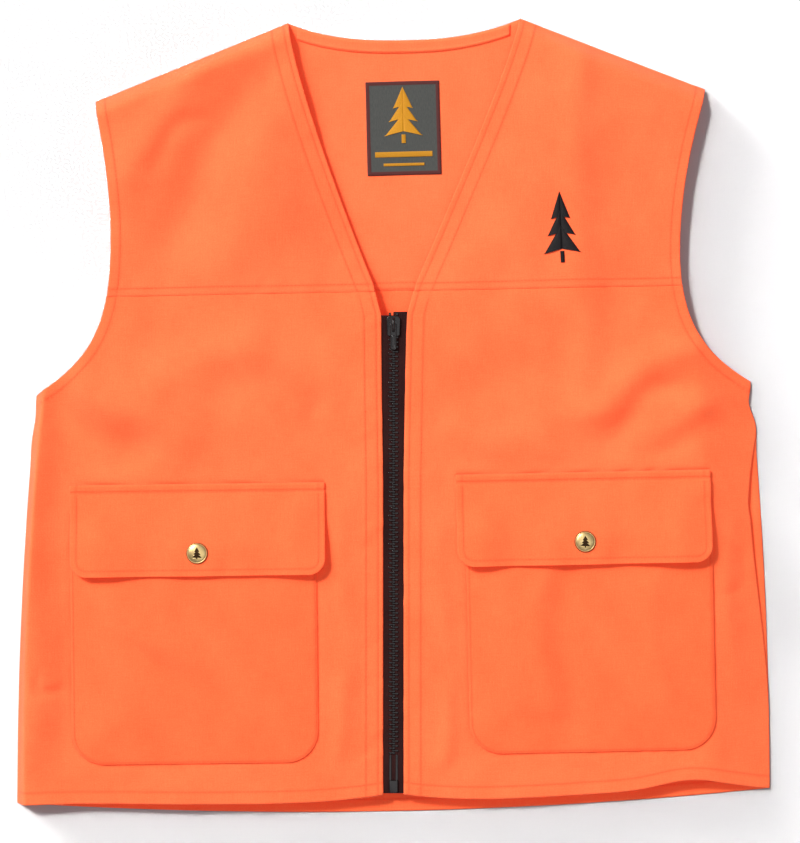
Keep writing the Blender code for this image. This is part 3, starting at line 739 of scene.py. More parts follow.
def moulded(name, rgb, shade, roughness, **constants):
    """Moulded or cast surface with fine scuffs."""
    m = Shader(name, rgb, roughness, **constants)
    scuffs = m.noise((900, 2600, 900), 4, "Object")
    patches = m.noise((160, 160, 160), 3, "Object")
    m.set(Base_Color=m.tint(rgb, m.share(m.times(patches, 0.5), 0.35), shade))
    m.set(Roughness=m.total(roughness, m.times(m.total(scuffs, patches), 0.10)))
    m.bumped(scuffs, 0.00003)
    return m.material


def brass():
    """Antiqued brass: pale where rubbed, brown in the engraving and at the rim."""
    m = Shader("antique_brass", (214, 186, 128), 0.36, Metallic=1.0)
    patches = m.noise((260, 260, 260), 4, "Object")
    scuffs = m.noise((1400, 400, 900), 3, "Object")
    engraved = m.seam()
    colour = m.tint((222, 196, 140), m.share(m.times(patches, 0.6), 0.4), (186, 150, 92))
    m.set(Base_Color=m.tint(colour, engraved, (58, 42, 26)))
    m.set(Roughness=m.total(0.34, m.times(scuffs, 0.10), m.times(engraved, 0.3)))
    m.bumped(scuffs, 0.00002)
    return m.material


PAPER = (165, 165, 165)
PAPER_CLOUDS = (164, 164, 165)


def floor_material():
    m = Shader("paper", PAPER, 0.9, Specular_IOR_Level=0.1)
    clouds = m.share(m.noise((6, 6, 6), 2, "Object", 0.2), 0.5)
    m.set(Base_Color=m.tint(PAPER, clouds, PAPER_CLOUDS))
    return m.material


# ---------------------------------------------------------------- pockets' places
def joint_named(name):
    return next(joint for joint in frame["joints"] if joint["name"] == name)


def centre_of(node):
    low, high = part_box(node)
    return np.array([(low[0] + high[0]) / 2, (low[1] + high[1]) / 2])


class Pocket:
    """A pocket's frame: at the middle of its flap's top edge, u to the right and v up."""

    def __init__(self, name):
        joint = joint_named(f"flap_{name}_lift")
        axis = np.array(joint["axis"][:2]) * -1
        self.u = axis / np.linalg.norm(axis)
        self.v = np.array((-self.u[1], self.u[0]))
        self.hinge = np.array(joint["pos_m"])
        self.origin = self.hinge[:2] + self.v * FLAP_STITCH

    def local(self, points):
        return np.stack([(points - self.origin) @ self.u, (points - self.origin) @ self.v], -1)

    def world(self, points):
        return self.origin + points[..., :1] * self.u + points[..., 1:2] * self.v

    def point(self, u, v, z):
        x, y = self.origin + u * self.u + v * self.v
        return (x, y, z)


POCKETS = {name: Pocket(name) for name in SIDES}

# the last colour of each cloth is the painted shade of its stitch channels and sewn edges
SHELL = woven("shell_twill", (255, 124, 74), (244, 97, 52), (226, 62, 30))
YOKE_SHELL = woven("yoke_twill", (255, 123, 74), (244, 96, 53), (226, 62, 30))
POCKET_SHELL = woven("pocket_twill", (255, 119, 69), (242, 92, 48), (222, 58, 27))
INSIDE = woven("inside_twill", (255, 126, 78), (246, 102, 57), (228, 66, 33))
ORANGE_THREAD = thread("orange_thread", (246, 98, 54), (222, 66, 32))
TAPE = ribbed("zip_tape", (30, 10, 11), (64, 30, 27))


def settle(obj, body="vest", replaces=()):
    """The calls that every piece needs."""
    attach(obj, body)
    if replaces:
        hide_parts(*replaces)
    return obj


def sewn(name, edges, height, to_world, body="vest"):
    """The topstitching of a cloth's edges, on its surface."""
    rows = []
    for edge in edges:
        for line in edge.stitch_lines():
            dense = between(line, 0.003, lengths(line)[-1] - 0.003)
            rows.append(np.column_stack([to_world(dense), height(dense)[0] + 0.00008]))
    obj = stitches(name, rows, ORANGE_THREAD)
    return settle(obj, body) if body else obj


# ---------------------------------------------------------------- fronts
def front_lines(side):
    lower_open, upper_open = split(opening(), FRONT_SEAM_Y)
    seam = side_seam(side)
    if side > 0:
        widest = smooth((-0.012 - seam[:, 1]) / 0.060) * (1 - smooth((-0.084 - seam[:, 1]) / 0.160))
        seam[:, 0] -= SEAM_INSET * widest + 0.0012 * bump(seam[:, 1] + 0.0765, 0.0075)
    lower_arm, upper_arm = split(armhole(), FRONT_SEAM_Y)
    low, out = FRONT_HEM_CURVES[side]
    hem = bezier((ZIP_EDGE_X, FRONT_HEM_Y), low, out, seam[0], 60)
    if side > 0:
        hem[:, 1] += HEM_LIFT * bump(hem[:, 0] - 0.2330, 0.034) * smooth((seam[0][0] - hem[:, 0]) / 0.020)
    return lower_open, upper_open, seam, lower_arm, upper_arm, hem


def fronts(name, side):
    lower_open, upper_open, seam, lower_arm, upper_arm, hem = front_lines(side)
    mirror = np.array((side, 1))
    pocket_place = POCKETS[name]
    bag = pocket_line(side)

    def to_world(points):
        return laid(points * mirror)

    # panel
    yoke_seam = path([lower_open[-1]], [lower_arm[-1]])
    right = path(seam, lower_arm)
    corner = lengths(seam)[-1]
    edges = [
        Edge(lower_open, ZIP_ROWS, ZIP_BAND, BAND_LIFT, -1, 1.3 + side, 0.00030),
        Edge(hem, HEM_ROWS, HEM_BAND, 0.00010, 1, 2.1 + side, 0.00008),
        Edge(lower_arm, ARM_ROWS, ARM_BAND, BAND_LIFT, 1, 3.7 + side),
    ]

    def panel_top(points):
        high, depth = with_edges(front_under(points, side) + CLOTH - SINK, points, edges)
        lying = pocket_place.local(to_world(points))
        # drawn in along the pocket's sewn edge
        away, place = nearest(bag, lying)
        high = high - 0.00045 * bump(away, 0.0016)
        high = high + 0.00010 * ripple(place, 0.011, side) * bump(away, 0.005)
        # painted shade along the pocket's sewn edge
        depth = np.maximum(depth, 0.8 * bump(away, 0.0011))
        # drawn in above the flap's sewn edge
        across, down = np.moveaxis(lying, -1, 0)
        beside = smooth((FLAP_WIDTH / 2 + 0.0015 - np.abs(across)) / 0.0015)
        crack = bump(down - 0.0006, 0.0009) * beside
        high = high - 0.0007 * crack
        # painted shade in the crack above the flap's sewn edge
        depth = np.maximum(depth, 1.6 * crack)
        # tucked under the yoke at its top
        high = high - 0.0006 * smooth((points[..., 1] - FRONT_SEAM_Y + 0.0012) / 0.0020)
        return high, depth

    s = steps_along(lengths(hem)[-1], FRONT_STEP, 0.0170, 0.0110)
    t = steps_along(lengths(right)[-1], FRONT_STEP, 0.0120, 0.0050, keep=[corner])
    plan = coons(hem, right, yoke_seam, lower_open, s, t)
    tuck = plan[-1:] + np.array((0, TUCK))
    tuck[..., 0] = np.clip(tuck[..., 0], plan[-1, 0, 0] + 0.001, plan[-1, -1, 0] - 0.001)
    plan = np.concatenate([plan, (plan[-1:] + tuck) / 2, tuck])
    top, depth = panel_top(plan)
    under = np.minimum(front_under(plan, side) - 0.0001, top - THINNEST)
    panel_name = f"front_panel_cloth_{name}"
    panel = sheet_mesh(panel_name, to_world(plan), top, under, plan * mirror, SHELL, depth)
    settle(panel, replaces=[f"front_panel_{name}"])
    sewn(f"front_panel_stitching_{name}", edges, panel_top, to_world)

    # yoke
    shoulder = path([NECK], [SHOULDER])
    bottom = path([upper_open[0]], [upper_arm[0]])
    yoke_edges = [
        Edge(upper_open, V_ROWS, V_BAND, BAND_LIFT, -1, 4.2 + side, 0.00022),
        Edge(bottom, YOKE_ROWS, YOKE_BAND, 0.00030, 1, 5.9 + side, 0.00020),
        Edge(upper_arm, ARM_ROWS, ARM_BAND, BAND_LIFT, 1, 6.6 + side),
    ]

    def yoke_top(points):
        return with_edges(front_under(points, side) + CLOTH - SINK, points, yoke_edges)

    s = steps_along(lengths(bottom)[-1], FRONT_STEP, 0.0175, 0.0110)
    t = steps_along(lengths(upper_arm)[-1], FRONT_STEP, 0.0085, 0.0060)
    plan = coons(bottom, upper_arm, shoulder, upper_open, s, t)
    plan[0] -= np.array((0, 0.0008))
    top, depth = yoke_top(plan)
    under = front_under(plan, side) + 0.0007 * smooth((FRONT_SEAM_Y + 0.007 - plan[..., 1]) / 0.003)
    under = np.minimum(under, top - THINNEST)
    yoke_name = f"front_yoke_cloth_{name}"
    yoke = sheet_mesh(yoke_name, to_world(plan), top, under, plan * mirror, YOKE_SHELL, depth)
    settle(yoke, replaces=[f"front_yoke_{name}"])
    sewn(f"front_yoke_stitching_{name}", yoke_edges, yoke_top, to_world)

    # facing behind the zip and the V
    edge = path(lower_open, upper_open)
    stop = lengths(edge)[-1] - 0.040
    outer = between(offset(edge, -0.0015), 0.002, stop, 150)
    inner = between(offset(edge, -0.0165), 0.002, stop, 150)
    across = np.linspace(0, 1, 8)[None, :, None]
    plan = outer[:, None] * (1 - across) + inner[:, None] * across
    base = np.maximum(front_under(plan, side) - FRONT_Z + FACING_Z, CLOTH + 0.0006)
    facing_name = f"front_facing_cloth_{name}"
    facing = sheet_mesh(facing_name, to_world(plan), base + 0.0007, base, plan * mirror, INSIDE)
    settle(facing, replaces=[f"front_facing_{name}"])


# ---------------------------------------------------------------- backs
def both_halves(line):
    """A half's line with its mirror image before it."""
    return path(line[::-1] * (-1, 1), line)


def neck_curve(half, steps):
    """The back's neck edge, dipping between the shoulders."""
    x = np.linspace(-half, half, steps)
    return np.stack([x, BACK_NECK_Y + (NECK[1] - BACK_NECK_Y) * np.abs(x / NECK[0]) ** 2.5], -1)


def back_height(points):
    """Top of the back's cloth, with its ripples."""
    return CLOTH - 0.0001 + 0.00025 * np.abs(swell(points, (33, 8, 0), (-11, 19, 0.7)))


def back_panel(lower_arm, top_edge):
    x = np.linspace(0, HEM_CORNER[0], 60)
    hem_y = HEM_CORNER[1] - BACK_HEM_DROP * (1 - (x / HEM_CORNER[0]) ** 2)
    hem = both_halves(np.stack([x, hem_y], -1))
    right = path(side_seam(1), lower_arm)
    left = path(side_seam(-1), lower_arm) * (-1, 1)
    edges = [
        Edge(hem, HEM_ROWS, HEM_BAND, BAND_LIFT, 1, 0.4, 0.00010),
        Edge(lower_arm, ARM_ROWS, ARM_BAND, 0.0002, 1, 2.4),
        Edge(lower_arm * (-1, 1), ARM_ROWS, ARM_BAND, 0.0002, -1, 3.4),
    ]

    def panel_top(points):
        high, depth = with_edges(back_height(points), points, edges)
        return high - 0.0004 * smooth((points[..., 1] - BACK_SEAM_Y + 0.0010) / 0.0020), depth

    s = steps_along(lengths(hem)[-1], BACK_STEP)
    t = steps_along(lengths(right)[-1], BACK_STEP, 0.0120, 0.0040, keep=[lengths(side_seam(1))[-1]])
    plan = coons(hem, right, top_edge, left, s, t)
    top, depth = panel_top(plan)
    panel = sheet_mesh("back_cloth", laid(plan), top, np.full(top.shape, 0.00005), plan, SHELL, depth)
    settle(panel, replaces=["back_panel"])
    sewn("back_stitching", edges, panel_top, laid)


def back_yoke(upper_arm, top_edge):
    shoulders = path([(-SHOULDER[0], SHOULDER[1])], neck_curve(NECK[0], 41), [SHOULDER])
    edges = [
        Edge(top_edge, BACK_YOKE_ROWS, BACK_YOKE_BAND, 0.0003, 1, 7.1, 0.00018),
        Edge(upper_arm, ARM_ROWS, ARM_BAND, 0.0002, 1, 8.4),
        Edge(upper_arm * (-1, 1), ARM_ROWS, ARM_BAND, 0.0002, -1, 9.4),
    ]

    def yoke_top(points):
        return with_edges(back_height(points), points, edges)

    across = lengths(shoulders)[-1]
    reach = float(np.linalg.norm(np.array(SHOULDER) - np.array(NECK)))
    s = steps_along(across, BACK_YOKE_STEP, keep=[reach, across - reach])
    t = steps_along(lengths(upper_arm)[-1], BACK_YOKE_STEP, 0.0110)
    plan = coons(top_edge, upper_arm, shoulders, upper_arm * (-1, 1), s, t)
    plan[0, :, 1] -= 0.0006
    top, depth = yoke_top(plan)
    under = 0.0001 + 0.0006 * smooth((BACK_SEAM_Y + 0.006 - plan[..., 1]) / 0.003)
    yoke = sheet_mesh("back_yoke_cloth", laid(plan), top, under, plan, INSIDE, depth)
    settle(yoke, replaces=["back_yoke"])
    sewn("back_yoke_stitching", edges, yoke_top, laid)


def neck_band():
    """The band along the neck, with a corded ridge at its lower edge."""
    half = 0.0830
    neck = neck_curve(half, 84)
    down = np.linspace(0, 1, 13)
    plan = neck[:, None] - np.array((0, 0.0004)) - down[None, :, None] * np.array((0, 0.0094))
    profile = 0.0009 * rounded(np.minimum(down, 1 - down) / 0.16) + 0.0005 * bump(down - 0.86, 0.09)
    top = CLOTH + 0.0006 + profile[None] + 0.00010 * ripple(neck[:, 0], 0.012, 2)[:, None]
    under = np.full(top.shape, CLOTH + 0.0003)
    band = sheet_mesh("neck_band_cloth", laid(plan), top, under, plan, INSIDE)
    settle(band, replaces=["back_neck_facing"])


def backs():
    lower_arm, upper_arm = split(armhole(), BACK_SEAM_Y)
    top_edge = path([lower_arm[-1] * (-1, 1)], [lower_arm[-1]])
    back_panel(lower_arm, top_edge)
    back_yoke(upper_arm, top_edge)
    neck_band()


# ---------------------------------------------------------------- pockets and flaps
def foot_line(half, top, bottom, radius, steps):
    """Down one side, round the lower corners and up the other side."""
    turn = np.radians(np.linspace(180, 270, steps))
    x, y = -half + radius + radius * np.cos(turn), bottom + radius + radius * np.sin(turn)
    first = np.stack([x, y], -1)
    return path([(-half, top)], first, first[::-1] * (-1, 1), [(half, top)])


def pocket_line(side):
    """The pocket's sewn edge in its own frame."""
    line = foot_line(POCKET_WIDTH / 2, -POCKET_MOUTH, -POCKET_BOTTOM, POCKET_RADIUS, 13)
    return line + (side * POCKET_SHIFT, 0)


def rounded_grid(half, bottom, radius, across, down):
    """A grid in a rectangle with round lower corners: across from -1 to 1, down in metres."""
    into = np.clip(radius - (down - bottom), 0, radius)
    widths = half - radius + np.sqrt(np.maximum(radius**2 - into**2, 0))
    return np.stack([across[None, :] * widths[:, None], np.repeat(down[:, None], len(across), 1)], -1)


def corner_levels(bottom, top, radius, coarse):
    """Levels from bottom to top, close together in the round corners."""
    turn = np.linspace(0, math.pi / 2, 13)[1:]
    low = bottom + radius * (1 - np.cos(turn))
    count = max(2, round((top - low[-1]) / coarse))
    middle = np.linspace(low[-1], top, count + 1)[1:]
    return np.unique(np.round(np.concatenate([[bottom + 1e-5], low, middle, [top]]), 7))


def edge_fractions(half, fine, step=0.0012, coarse=FRONT_STEP):
    """Fractions of a half width from -1 to 1, close together near both ends."""
    inner = np.linspace(0, half - fine, max(2, round((half - fine) / coarse)))
    outer = np.linspace(half - fine, half, round(fine / step) + 1)[1:]
    marks = np.concatenate([inner, outer]) / half
    return np.concatenate([-marks[:0:-1], marks])


# creases of the bags in their own frames: from, to, half width, height
POCKET_FOLDS = {
    "right": (((-0.072, -0.088), (-0.004, -0.150), 0.010, 0.0016),
              ((-0.062, -0.108), (0.010, -0.172), 0.012, -0.0016)),
    "left": (((-0.030, -0.074), (-0.036, -0.190), 0.011, 0.0015),
             ((-0.012, -0.074), (-0.018, -0.196), 0.012, -0.0014),
             ((0.058, -0.074), (0.052, -0.180), 0.012, 0.0014),
             ((-0.070, -0.175), (-0.010, -0.205), 0.007, -0.0008)),
}


def pocket(name, side):
    place = POCKETS[name]
    line = pocket_line(side)
    edges = [Edge(line, (0.0019,), 0.0, 0.0, 1, 1.1 + side, 0.00014)]
    foot = FRONT_TOP + 0.0001

    def top_height(points):
        away, along_edge = nearest(line, points)
        u, v = points[..., 0], points[..., 1]
        mouth = smooth((-POCKET_MOUTH - v) / 0.028)
        rise = rounded(away / 0.060) * mouth
        snap = np.hypot(u, v + SNAP_V)
        crown = BAG_TOP - 0.0012 * (1 - bump(snap, 0.024)) - foot - 0.0009
        high = foot + 0.0009 * rounded(away / 0.0009) + crown * rise
        high = high + 0.00016 * ripple(along_edge, 0.0125, 2 + side) * bump(away - 0.0045, 0.0040)
        soft = rise * smooth((snap - 0.010) / 0.020)
        high = high + 0.00080 * swell(points, (31, 9, side), (-6, 24, 0.4)) * soft
        for start, end, width, deep in POCKET_FOLDS[name]:
            high = high + deep * crease(points, start, end, width) * smooth(away / 0.012) * mouth
        high = high - 0.0006 * smooth((v + POCKET_MOUTH + 0.002) / 0.002)
        high, depth = with_edges(high, points, edges, 0.8)
        # painted shade along the bag's sewn edge, with that of its stitch channel
        return high, np.maximum(depth, 0.5 * bump(away, 0.0008))

    down = corner_levels(-POCKET_BOTTOM, -POCKET_MOUTH, POCKET_RADIUS, FRONT_STEP)
    across = edge_fractions(POCKET_WIDTH / 2, 0.0130)
    plan = rounded_grid(POCKET_WIDTH / 2, -POCKET_BOTTOM, POCKET_RADIUS, across, down)
    plan = plan + np.array((side * POCKET_SHIFT, 0))
    top, depth = top_height(plan)
    under = np.minimum(np.maximum(top - 0.0008, foot - 0.0001), top - 0.0002)
    bag = sheet_mesh(f"pocket_cloth_{name}", place.world(plan), top, under, plan, POCKET_SHELL, depth)
    settle(bag, replaces=[f"pocket_{name}"])
    sewn(f"pocket_stitching_{name}", edges, top_height, place.world)


# how the flaps' lower edges lift and settle between the snap and the corners: u, width, height
FLAP_WAVES = {
    "right": ((-0.084, 0.018, 0.0020), (-0.038, 0.020, -0.0026), (0.020, 0.012, -0.0010),
              (0.052, 0.022, -0.0026), (0.094, 0.014, 0.0018)),
    "left": ((-0.088, 0.014, 0.0018), (-0.056, 0.014, -0.0030), (-0.020, 0.012, 0.0010),
             (0.032, 0.018, -0.0027), (0.080, 0.022, 0.0022)),
}


def swing(obj, name):
    """Fixes the object's placement in its mesh; the places just below the row that holds the flap are
    found but not used.
    """
    place = POCKETS[name]
    start = place.point(0, -FLAP_STITCH + 0.0008, place.hinge[2])
    end = place.point(0, -FLAP_STITCH - 0.0075, place.hinge[2])
    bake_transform(obj)


def flap(name, side):
    place = POCKETS[name]
    line = foot_line(FLAP_WIDTH / 2, 0, -FLAP_HEIGHT, FLAP_RADIUS, 9)
    top_row = path([(-FLAP_WIDTH / 2, -FLAP_STITCH)], [(FLAP_WIDTH / 2, -FLAP_STITCH)])
    edges = [
        Edge(line, (0.0046,), 0.0056, 0.00022, 1, 3.3 + side, 0.00014),
        Edge(top_row, (0.0,), 0.0, 0.0, 1, 5.1 + side, 0.00022),
    ]

    def rise(points):
        """Underside of the lining: an even rise over the snap, with the waves of the free edge."""
        u, v = points[..., 0], points[..., 1]
        down = np.maximum(0, -v - FLAP_STITCH)
        base = FLAP_FOOT_Z + 0.0079 * ramp(down / 0.043)
        sides = smooth((np.abs(u) - 0.070) / 0.028) * smooth(down / 0.025)
        base = base - 0.0034 * sides * (1 - 0.3 * smooth((down - 0.045) / 0.015))
        free = smooth((down - 0.010) / 0.055) * smooth((np.hypot(u, v + SNAP_V) - 0.0105) / 0.016)
        for centre, width, height in FLAP_WAVES[name]:
            base = base + height * bump(u - centre, width) * free
        return base + 0.0003 * swell(points, (29, 0, 1.2), (0, 60, 0)) * free

    def top_height(points):
        v = points[..., 1]
        sewn_down = smooth((v + FLAP_STITCH + 0.0006) / 0.0012)
        high = rise(points) + 0.0016
        edge = rounded(-v / 0.0012) * smooth(np.abs(v + FLAP_STITCH) / 0.0020)
        ridge = FLAP_FOOT_Z + 0.0004 + 0.0010 * edge
        high = np.where(v > -FLAP_STITCH, ridge, high * (1 - sewn_down) + ridge * sewn_down)
        return with_edges(high, points, edges, 0.8)

    levels = corner_levels(-FLAP_HEIGHT, -0.0140, FLAP_RADIUS, 0.0024)
    down = np.concatenate([levels, np.arange(-0.0133, 0.0001, 0.0007)])
    across = edge_fractions(FLAP_WIDTH / 2, 0.0075)
    plan = rounded_grid(FLAP_WIDTH / 2, -FLAP_HEIGHT, FLAP_RADIUS, across, down)
    top, depth = top_height(plan)
    under = np.minimum(top - 0.0006, np.maximum(top - 0.0007, FLAP_FOOT_Z - 0.0002))
    outer = sheet_mesh(f"flap_cloth_{name}", place.world(plan), top, under, plan, POCKET_SHELL, depth)
    swing(outer, name)
    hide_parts(f"flap_{name}", f"flap_seam_{name}")
    swing(sewn(f"flap_stitching_{name}", edges, top_height, place.world, None), name)

    half, low, radius = (size - LINING_INSET for size in (FLAP_WIDTH / 2, FLAP_HEIGHT, FLAP_RADIUS))
    levels = corner_levels(-low, -0.0140, radius, LINING_STEP)
    down = np.concatenate([levels, np.arange(-0.0130, -FLAP_STITCH + 0.0001, 0.0011)])
    plan = rounded_grid(half, -low, radius, edge_fractions(half, 0.004, 0.002, LINING_STEP), down)
    base = rise(plan) + 0.0001
    lining_name = f"flap_lining_cloth_{name}"
    lining = sheet_mesh(lining_name, place.world(plan), base + 0.0006, base, plan, POCKET_SHELL)
    swing(lining, name)
    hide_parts(f"flap_lining_{name}")


# ---------------------------------------------------------------- zip
PLASTIC = moulded("zip_black", (10, 6, 6), (26, 17, 16), 0.17, Specular_IOR_Level=0.32)
METAL_BLACK = moulded("slider_black", (10, 6, 6), (28, 20, 19), 0.20, Specular_IOR_Level=0.34)
TEETH_PITCH = 0.0037
SLIDER_TOP = 0.0028  # the slider's plates reach this far above and below the zip's middle
TEETH_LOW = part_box("zip_teeth_right")[0][1]
TEETH_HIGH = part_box("zip_teeth_right")[1][1]


def tape(name, side):
    """Ribbed tape: a corded edge in the chain, two ribs, and a flat selvedge under the cloth."""
    low, high = TAPE_BOX[0][1], TAPE_BOX[1][1] - (0.0014 if side > 0 else 0.0030)
    x = np.concatenate([np.linspace(0.0002, 0.0090, 37), np.linspace(0.0096, 0.0170, 9)])
    middle = np.linspace(low + 0.008, high - 0.008, 130)
    y = np.concatenate([np.linspace(low, low + 0.006, 7), middle, np.linspace(high - 0.006, high, 7)])
    plan = np.stack(np.meshgrid(x, y), -1)
    spread = smooth((plan[..., 1] - high + 0.014) / 0.014)
    flare = 1 + (0.05 if side > 0 else 0.02) * spread
    ribs = 0.00028 * (bump(x - 0.0046, 0.00045) + bump(x - 0.0062, 0.00045))
    ribs = ribs + 0.0005 * bump(x - 0.0023, 0.0006)
    edge = np.minimum(plan[..., 1] - low, high - plan[..., 1])
    lifted = smooth((x - 0.004)[None] / 0.006) * smooth((0.0125 - x)[None] / 0.003)
    top = ZIP_Z + 0.00036 + ribs[None] * rounded(edge / 0.002) + 0.0012 * spread * lifted
    top = top + 0.00006 * ripple(plan[..., 1], 0.009, side)
    world = plan * (side, 1)
    world[..., 0] *= flare
    world[..., 1] += 0.0012 * spread * (side > 0)
    made = sheet_mesh(f"zip_tape_cloth_{name}", world, top, top - 0.0007, plan * (side, 1), TAPE)
    settle(made, replaces=[f"zip_tape_{name}"])


def tooth_plan(side):
    """One moulded tooth: a foot on the tape, a neck, and a head that locks past the zip's line."""
    half = [(0.0037, 0.00062), (0.0026, 0.00078), (0.0014, 0.00050), (0.0006, 0.00048), (0.0001, 0.00080),
            (-0.0007, 0.00086), (-0.0012, 0.00056)]
    plan = half + [(x, -y) for x, y in half[::-1]]
    return [(side * x, y) for x, y in plan]


def teeth(name, side):
    first = TEETH_LOW + (0.25 if side < 0 else 0.75) * TEETH_PITCH
    row = []
    for i in range(int((TEETH_HIGH - TEETH_LOW) / TEETH_PITCH)):
        place = Matrix.Translation((0, first + i * TEETH_PITCH, ZIP_Z))
        row.append(prism(tooth_plan(side), -0.00125, 0.00125, 0.00022, place, PLASTIC))
    settle(join(f"zip_teeth_row_{name}", row), replaces=[f"zip_teeth_{name}"])


def round_plan(half, low, high, radius_low, radius_high, steps=6):
    """A rectangle with round corners."""
    made = []
    right_low, right_high = half - radius_low, half - radius_high
    corners = (
        (right_high, high - radius_high, radius_high),
        (-right_high, high - radius_high, radius_high),
        (-right_low, low + radius_low, radius_low),
        (right_low, low + radius_low, radius_low),
    )
    for quarter, (cx, cy, r) in enumerate(corners):
        for i in range(steps + 1):
            angle = math.radians(90 * quarter + 90 * i / steps)
            made.append((cx + r * math.cos(angle), cy + r * math.sin(angle)))
    return made


def waisted(plan, share, at, width):
    """A plan drawn in about a level."""
    return [(x * (1 - share * bump(y - at, width)), y) for x, y in plan]


def about_zip(plan, low, high, bevel, x, y, segments=2):
    """A black piece between two heights above and below the zip's middle."""
    place = Matrix.Translation((x, y, 0))
    return prism(plan, ZIP_Z + low, ZIP_Z + high, bevel, place, METAL_BLACK, "piece", segments)


def top_stops():
    for name in SIDES:
        low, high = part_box(f"zip_top_stop_{name}")
        tall = (high[1] - low[1]) / 2
        plan = round_plan((high[0] - low[0]) / 2 + 0.0002, -tall, tall, 0.0004, 0.0004, 3)
        place = Matrix.Translation((*centre_of(f"zip_top_stop_{name}"), 0))
        stop = prism(plan, low[2], high[2], 0.0003, place, METAL_BLACK, f"top_stop_{name}")
        settle(stop, replaces=[f"zip_top_stop_{name}"])


def zip_slider():
    """Two shield-shaped plates joined by a wedge, with rails at their sides and a bridge on top."""
    low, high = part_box("zip_slider")
    middle = (low[1] + high[1]) / 2
    half = (high[0] - low[0]) / 2
    length = high[1] - low[1]
    shield = round_plan(half, -length / 2, length / 2, 0.0024, 0.0034, 8)
    shield = waisted(shield, 0.16, -0.18 * length, 0.0035)
    plates = [
        about_zip(shield, 0.0016, SLIDER_TOP, 0.0005, 0, middle, 3),
        about_zip(shield, -SLIDER_TOP, -0.0016, 0.0004, 0, middle),
    ]
    rail = round_plan(0.0006, -length / 2 + 0.0012, length / 2 - 0.0020, 0.0004, 0.0004, 3)
    for side in SIDES.values():
        for bottom, top in ((0.0007, 0.0018), (-0.0018, -0.0007)):
            plates.append(about_zip(rail, bottom, top, 0.0002, side * 0.0045, middle))
    wedge = round_plan(0.0006, 0.0030, length / 2 - 0.0006, 0.0005, 0.0005, 5)
    plates.append(about_zip(wedge, -0.0020, 0.0020, 0.0001, 0, middle))
    plates.append(bridge(middle, ZIP_Z + SLIDER_TOP, high[2]))
    settle(join("zip_slider_body", plates), "zip_slider", ["zip_slider"])


def zip_foot():
    """The box with its fixed post, and the loose pin beside it."""
    low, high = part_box("zip_box")
    foot = round_plan(0.0034, 0, 0.0100, 0.0016, 0.0006, 5)
    post = round_plan(0.0009, 0.0080, high[1] - low[1], 0.0003, 0.0006, 3)
    box = [
        about_zip(foot, -0.0021, 0.0021, 0.0006, 0, low[1], 3),
        about_zip(post, -0.0010, 0.0010, 0.0003, -0.0025, low[1]),
    ]
    settle(join("zip_box_body", box), replaces=["zip_box"])
    low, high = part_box("zip_pin")
    pin = round_plan(0.0009, 0.0, high[1] - low[1], 0.0003, 0.0006, 3)
    body = about_zip(pin, -0.0010, 0.0010, 0.0003, 0.0025, low[1])
    body.name = "zip_pin_body"
    settle(body, replaces=["zip_pin"])


def bridge(middle, plate, crest):
    """The slider's arched bridge, which holds the pull."""
    ends = (-0.0056, plate - 0.0004), (0.0062, plate - 0.0004)
    line = bezier(ends[0], (-0.0050, crest + 0.0006), (0.0058, crest + 0.0006), ends[1], 18)
    bm = bmesh.new()
    rings = []
    last = len(line) - 1
    for i, (y, z) in enumerate(line):
        wide = 0.00085 + 0.0004 * abs(2 * i / last - 1)
        step = line[min(i + 1, last)] - line[max(i - 1, 0)]
        step = step / np.linalg.norm(step)
        ring = []
        for k in range(10):
            angle = 2 * math.pi * k / 10
            a, b = wide * math.cos(angle), 0.00050 * math.sin(angle)
            ring.append(bm.verts.new((a, middle + y - step[1] * b, z + step[0] * b)))
        rings.append(ring)
    loft(bm, rings)
    bm.faces.new(rings[0][::-1])
    bm.faces.new(rings[-1])
    bmesh.ops.recalc_face_normals(bm, faces=bm.faces)
    return finished(bm, "bridge", METAL_BLACK)


def zip_pull():
    """The pull: an eye round the pivot, a waisted stem and a recessed tab with a raised rim."""
    low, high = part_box("zip_pull")
    x, y, z = joint_named("pull_swing")["pos_m"]
    length = y - low[1]
    half = (high[0] - low[0]) / 2
    outline = round_plan(half, -length, 0.0009, 0.0019, 0.0012, 7)
    outline = waisted(outline, 0.22, -0.0058, 0.0022)
    tab = round_plan(half, -length, -0.0066, 0.0019, 0.0012, 7)
    inner = [(px * 0.62, -0.0125 + (py + 0.0125) * 0.72) for px, py in tab]
    at = Matrix.Translation((x, y, z))
    bar = bmesh.new()
    bmesh.ops.create_cone(bar, cap_ends=True, segments=16, radius1=0.00062, radius2=0.00062, depth=0.0042,
                          matrix=at @ Matrix.Rotation(math.pi / 2, 4, "Y"))
    parts = [
        prism(outline, -0.00042, 0.00042, 0.0003, at, METAL_BLACK, "core", 3),
        ring_prism(outline, 0.0006, 0.00042, 0.00072, at),
        ring_prism(inner, 0.0004, -0.0006, -0.0003, at),
        ring_prism(inner, 0.0004, 0.0003, 0.0006, at),
        finished(bar, "bar", METAL_BLACK),
    ]
    settle(join("zip_pull_tab", parts), "zip_pull", ["zip_pull"])


def ring_prism(outline, width, low, high, place):
    """A raised rim just inside an outline."""
    points = np.array(outline)
    step = np.roll(points, -1, 0) - np.roll(points, 1, 0)
    step /= np.linalg.norm(step, axis=1)[:, None]
    inward = np.stack([-step[:, 1], step[:, 0]], -1)
    bm = bmesh.new()
    profile = ((0.0002, low), (0.0002, high - 0.0001), (0.0004, high), (width, high),
               (width + 0.0002, high - 0.0001), (width + 0.0002, low))
    rings = [[bm.verts.new((*p + way * at, z)) for p, way in zip(points, inward)] for at, z in profile]
    loft(bm, rings, closed=True)
    bmesh.ops.recalc_face_normals(bm, faces=bm.faces)
    rim = finished(bm, "rim", METAL_BLACK)
    rim.data.transform(place)
    return rim


